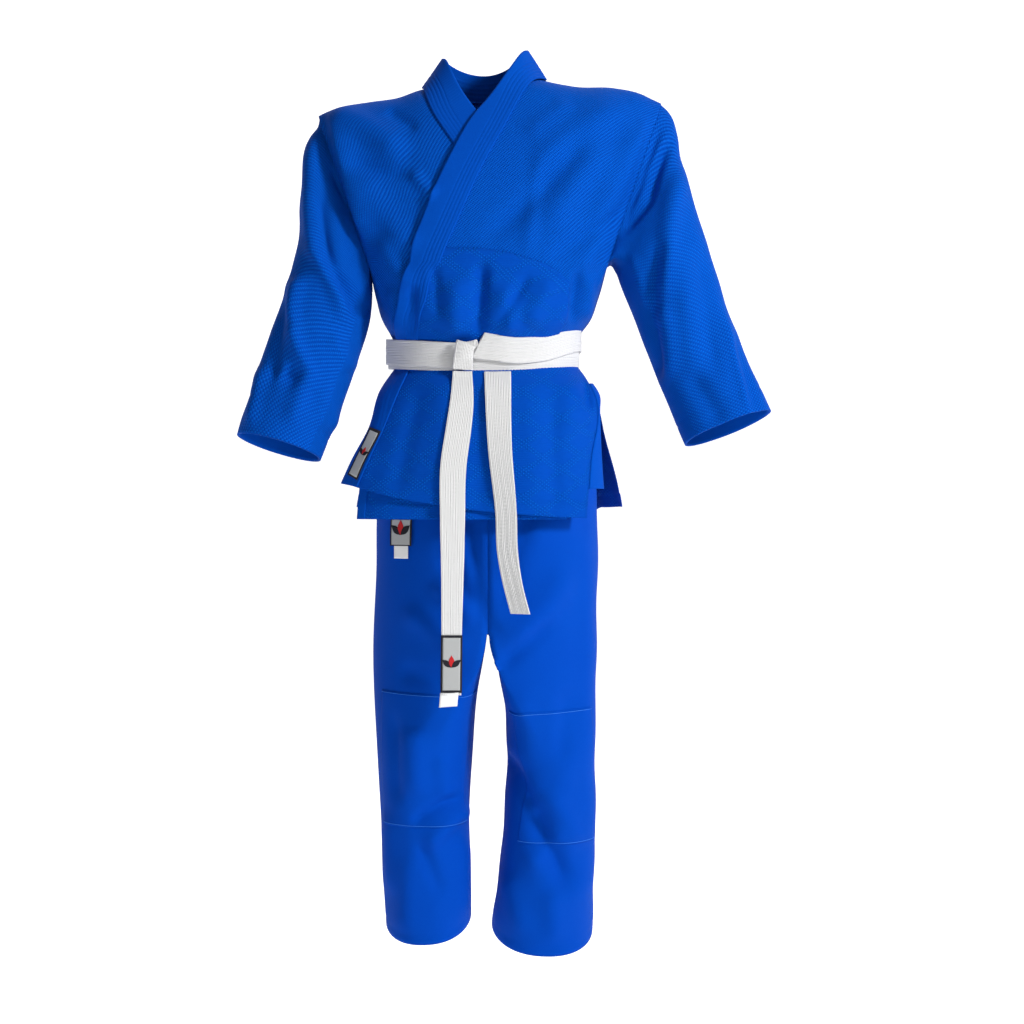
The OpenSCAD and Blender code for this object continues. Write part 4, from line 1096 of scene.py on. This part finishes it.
def leg_sheet(side, angle, z):
    """A leg of the trousers and the height of its folds: above the crotch half of the seat's oval, below it an
    oval between the leg's outer and inner line. Angle 0 is the front middle, 90 the outside, 180 the back."""
    outer, inner = through(z, LEG[side]["outer"]), through(z, LEG[side]["inner"])
    part = smooth((CROTCH_Z - 2 - z) / 210)
    middle = np.where(z < CROTCH_Z, mix(np.minimum(inner, 2), (outer + inner) / 2, part), 0)
    s, c = np.sin(np.radians(angle)), np.cos(np.radians(angle))
    share = np.abs(s) ** (2 / LEG_ROUND)
    x = np.where(s >= 0, middle + (outer - middle) * share, middle - (middle - inner) * share)
    p = stack(side * x, -through(z, LEG_D) * power(c, 2 / LEG_ROUND), z)
    wave = folds(p, LEG_FOLDS[side]) * smooth(-p[..., 1] / 40)
    behind = folds(p, [
        (side * 130, -700, side * 30, -800, 20, -6, 0), (side * 150, -650, side * 60, -720, 22, 6, 0),
        (side * 40, -860, side * 120, -900, 18, 6, 0), (side * 60, -1000, side * 110, -1120, 20, -6, 0),
        (side * 120, -1000, side * 90, -1200, 20, 6, 0)]) * smooth(p[..., 1] / 40)
    wave = (1.35 * (wave + behind) + ripple(p, 110, 2.2, 20 + side)) * smooth((TROUSER_TOP_Z - z) / 60)
    return p, wave * smooth(np.abs(x) / 30)


def trouser_leg(side, name):
    """A leg with its half of the seat, in three grids that share their edges, and then the knee patch, its two
    lines of stitching and the hem's facing."""
    knee_centre = (side * 85, 0, -1000)
    bend = ("trousers", f"{name}_trouser_leg", (side * 0.088, 0, -0.800), (side * 0.088, 0, -1.02))
    parts = []
    cuts = ((0, 180, TROUSER_TOP_Z, CROTCH_Z, 84, 72), (0, 180, CROTCH_Z, None, 100, 72),
            (180, 360, CROTCH_Z, None, 100, 50))
    for first, last, top, low, rows, cols in cuts:
        r, c = grid(rows, cols)
        angle = mix(first, last, c)
        z = mix(top, leg_hem(side, angle) if low is None else low, r)
        p, wave = leg_sheet(side, angle, z)
        if low is None:
            wave = wave - 0.7 * bell(z - leg_hem(side, angle) - 14, 1.2)
        parts.append(push(p, stack(np.where(z < CROTCH_Z, side * 85, side * 40), 0 * z, z), wave))
    parts[1][0] = parts[0][-1]
    parts[2][:, 0] = parts[1][:, -1]
    parts[2][:, -1] = parts[1][:, 0]
    sewn(f"{name}_trouser_leg_drill", parts, drill_blue, "drill", DRILL, None,
         [f"trousers_{name}_hip", f"{name}_leg"], centre=(side * 60, 0, -800), blend=bend, held="hung",
         rests=["trousers_waistband_drill"])
    low, high = (-1124, -924) if side > 0 else (-1098, -898)
    r, c = grid(70, 60)
    angle = mix(-62 if side < 0 else -40, 62, c)
    angle = np.where(angle < 0, angle + 360, angle)
    z = mix(high, low, r) - 6 * np.cos(np.radians(angle)) ** 2
    p, wave = leg_sheet(side, angle, z)
    border = np.minimum(np.minimum(z - z[-1:], z[:1] - z), 20)
    patch = push(p, knee_centre, wave + 0.6 - 0.3 * bell(border - 3, 1.0))
    sewn(f"{name}_knee_drill", [patch], drill_blue, "drill", DRILL, None, [f"{name}_knee_patch"],
         centre=knee_centre, blend=bend, rests=[f"{name}_trouser_leg_drill"])
    for place, level in (("upper", high - 3), ("lower", low + 3)):
        r, c = grid(3, 60)
        z = level - 0.5 * r - 6 * np.cos(np.radians(angle[:3])) ** 2
        p, wave = leg_sheet(side, angle[:3], z)
        sewn(f"{name}_knee_{place}_stitching", [push(p, knee_centre, wave + 1.0)], thread_blue, "drill", 0.3, None,
             centre=knee_centre, blend=bend, sheet=False)
    r, c = grid(6, 100)
    angle = 360 * c
    hem = leg_hem(side, angle)
    z = mix(hem, hem + 14, r)
    p, wave = leg_sheet(side, angle, z)
    facing = push(p, (side * 85, 0, -1250), wave - DRILL - 0.4)
    facing[:, -1] = facing[:, 0]
    sewn(f"{name}_leg_hem", [facing], drill_blue, "drill", 0.8, f"{name}_trouser_leg", [f"{name}_leg_facing"],
         centre=(side * 85, 0, -1250), rests=[f"{name}_trouser_leg_drill"])


def trouser_top():
    """The gathered waistband, an oval ring, and the gusset, a flat leaf across the crotch."""
    r, c = grid(14, 140)
    angle = np.radians(360 * c)
    z = mix(TROUSER_TOP_Z + 38, TROUSER_TOP_Z, r)
    gather = 1.2 * np.sin(angle * 44) * bell(r - 0.5, 0.5)
    x = (111 + gather) * power(np.sin(angle), 2 / LEG_ROUND)
    y = -(79 + gather) * power(np.cos(angle), 2 / LEG_ROUND)
    band = stack(x, y, z)
    band[:, -1] = band[:, 0]
    sewn("trousers_waistband_drill", [band], drill_blue, "drill", 3.0, "trousers", ["trousers_waistband"],
         centre=(0, 0, -380), held="gathered", rests=["left_trouser_leg_drill"])
    r, c = grid(12, 24)
    wide = 30 * np.sin(np.pi * np.clip(c, 0.02, 0.98))
    gusset = stack(mix(-1, 1, r) * wide, mix(-100, 100, c), CROTCH_Z - 3 + 0 * c)
    sewn("crotch_gusset_drill", [gusset], drill_blue, "drill", DRILL, "trousers", ["crotch_gusset"],
         centre=(0, 0, -700), uv_rule=ring_map, rests=["left_trouser_leg_drill"])


# ---------------------------------------------------------------- labels on the cloth

def cloth_labels():
    """The labels of the lapel's end and of the trousers, each laid along a line on its cloth, and the size tag."""
    z = np.linspace(-505, -585, 60)
    x = mix(through(z, TOP_FREE_X), through(z, TOP_SEWN_X), 0.48)
    out_of = TOP_LIFT + CLOTH + BAND + LAYER
    path = skirt_sheet(x[:, None], z[:, None], out_of)[:, 0]
    beside = skirt_sheet(x[:, None] + 2, z[:, None], out_of)[:, 0]
    across, out = strap_frame(path, unit(beside - path))
    label_on("lapel_woven_label", path, across, out, 23, -582, -510, "front_flap", ["lapel_label"])
    z = np.linspace(-640, -690, 60)
    angle = np.full(60, 47.0)
    p, _ = leg_sheet(-1, angle[:, None], z[:, None])
    q, _ = leg_sheet(-1, angle[:, None] - 2, z[:, None])
    path = p[:, 0]
    across = unit(q[:, 0] - p[:, 0])
    out = unit(np.cross(unit(np.gradient(path, axis=0)), across))
    out = out * np.sign(-out[:, 1:2])
    path = path + out * 2.5
    label_on("trousers_woven_label", path, across, out, 40, -684, -642, "trousers", ["trousers_label"])
    r, c = grid(12, 10)
    foot = -8
    tag = path[foot] + (c[..., None] - 0.5) * 26 * across[foot]
    tag[..., 2] = -682 - 20 * r
    sewn("trousers_tag", [tag], tag_white, "tag", 0.5, "trousers", ["trousers_size_tag"], centre=(-60, 0, -690),
         uv_rule=ring_map)


# ---------------------------------------------------------------- light, floor and camera

def setting():
    """A plain pale floor with a sweep behind, soft lights from the upper right, and a long lens in front."""
    floor_z = -1.43
    pale, _, shader = tree_of("pale floor")
    shader.inputs["Base Color"].default_value = (0.93, 0.93, 0.93, 1)
    shader.inputs["Roughness"].default_value = 0.9
    shader.inputs["Emission Color"].default_value = (1, 1, 1, 1)
    shader.inputs["Emission Strength"].default_value = 0.6
    x, t = np.meshgrid(np.linspace(-9, 9, 12), np.linspace(0, 1, 60))
    bend = np.clip((t - 0.6) / 0.2, 0, 1) * np.pi / 2
    y = np.where(t < 0.6, mix(-8, 4, t / 0.6), 4 + 2 * np.sin(bend))
    z = np.where(t < 0.6, 0, 2 * (1 - np.cos(bend)) + np.clip(t - 0.8, 0, 1) * 30)
    floor = mesh_from("floor", [stack(x / MM, y / MM, (z + floor_z) / MM)], pale, np.array([0, 0, 9e9]))
    for name, place, width, watts in (
        ("key light", (2.6, -2.1, 1.2), 0.7, 135), ("front light", (0.2, -3.8, -0.6), 1.6, 9),
        ("top light", (0.8, -0.8, 2.2), 1.2, 14), ("back light", (0.0, 3.0, 1.8), 3.0, 60),
    ):
        light = bpy.data.objects.new(name, bpy.data.lights.new(name, "AREA"))
        light.data.size = width
        light.data.energy = watts
        light.location = place
        light.rotation_euler = (Vector((0, 0, -0.6)) - Vector(place)).to_track_quat("-Z", "Y").to_euler()
        bpy.context.scene.collection.objects.link(light)
    world = bpy.data.worlds.new("studio")
    world.use_nodes = True
    world.node_tree.nodes["Background"].inputs["Color"].default_value = (1, 1, 1, 1)
    world.node_tree.nodes["Background"].inputs["Strength"].default_value = 0.10
    bpy.context.scene.world = world
    # The lens covers the span at the garment's front, and the shift centres the garment without a tilt
    camera = bpy.data.objects.new("camera", bpy.data.cameras.new("camera"))
    distance, span, sensor, eye_z, centre_z = 4.5, 1.536, 36, -0.56, -0.633
    camera.location = (0.036, -0.06 - distance, eye_z)
    camera.rotation_euler = (np.pi / 2, 0, 0)
    camera.data.lens = sensor * distance / span
    camera.data.sensor_width = sensor
    camera.data.shift_y = (centre_z - eye_z) / span
    camera.data.clip_end = 60
    bpy.context.scene.collection.objects.link(camera)
    bpy.context.scene.camera = camera
    bpy.context.scene.view_settings.view_transform = "Standard"


back_panels()
for side, name in SIDES:
    for build in (rice_front, diamond_front, sleeve, trouser_leg):
        build(side, name)
for side, name in SIDES:
    lapel(side, name)
collar()
front_skirts()
back_skirt()
belt()
knot()
belt_tails()
trouser_top()
cloth_labels()
setting()
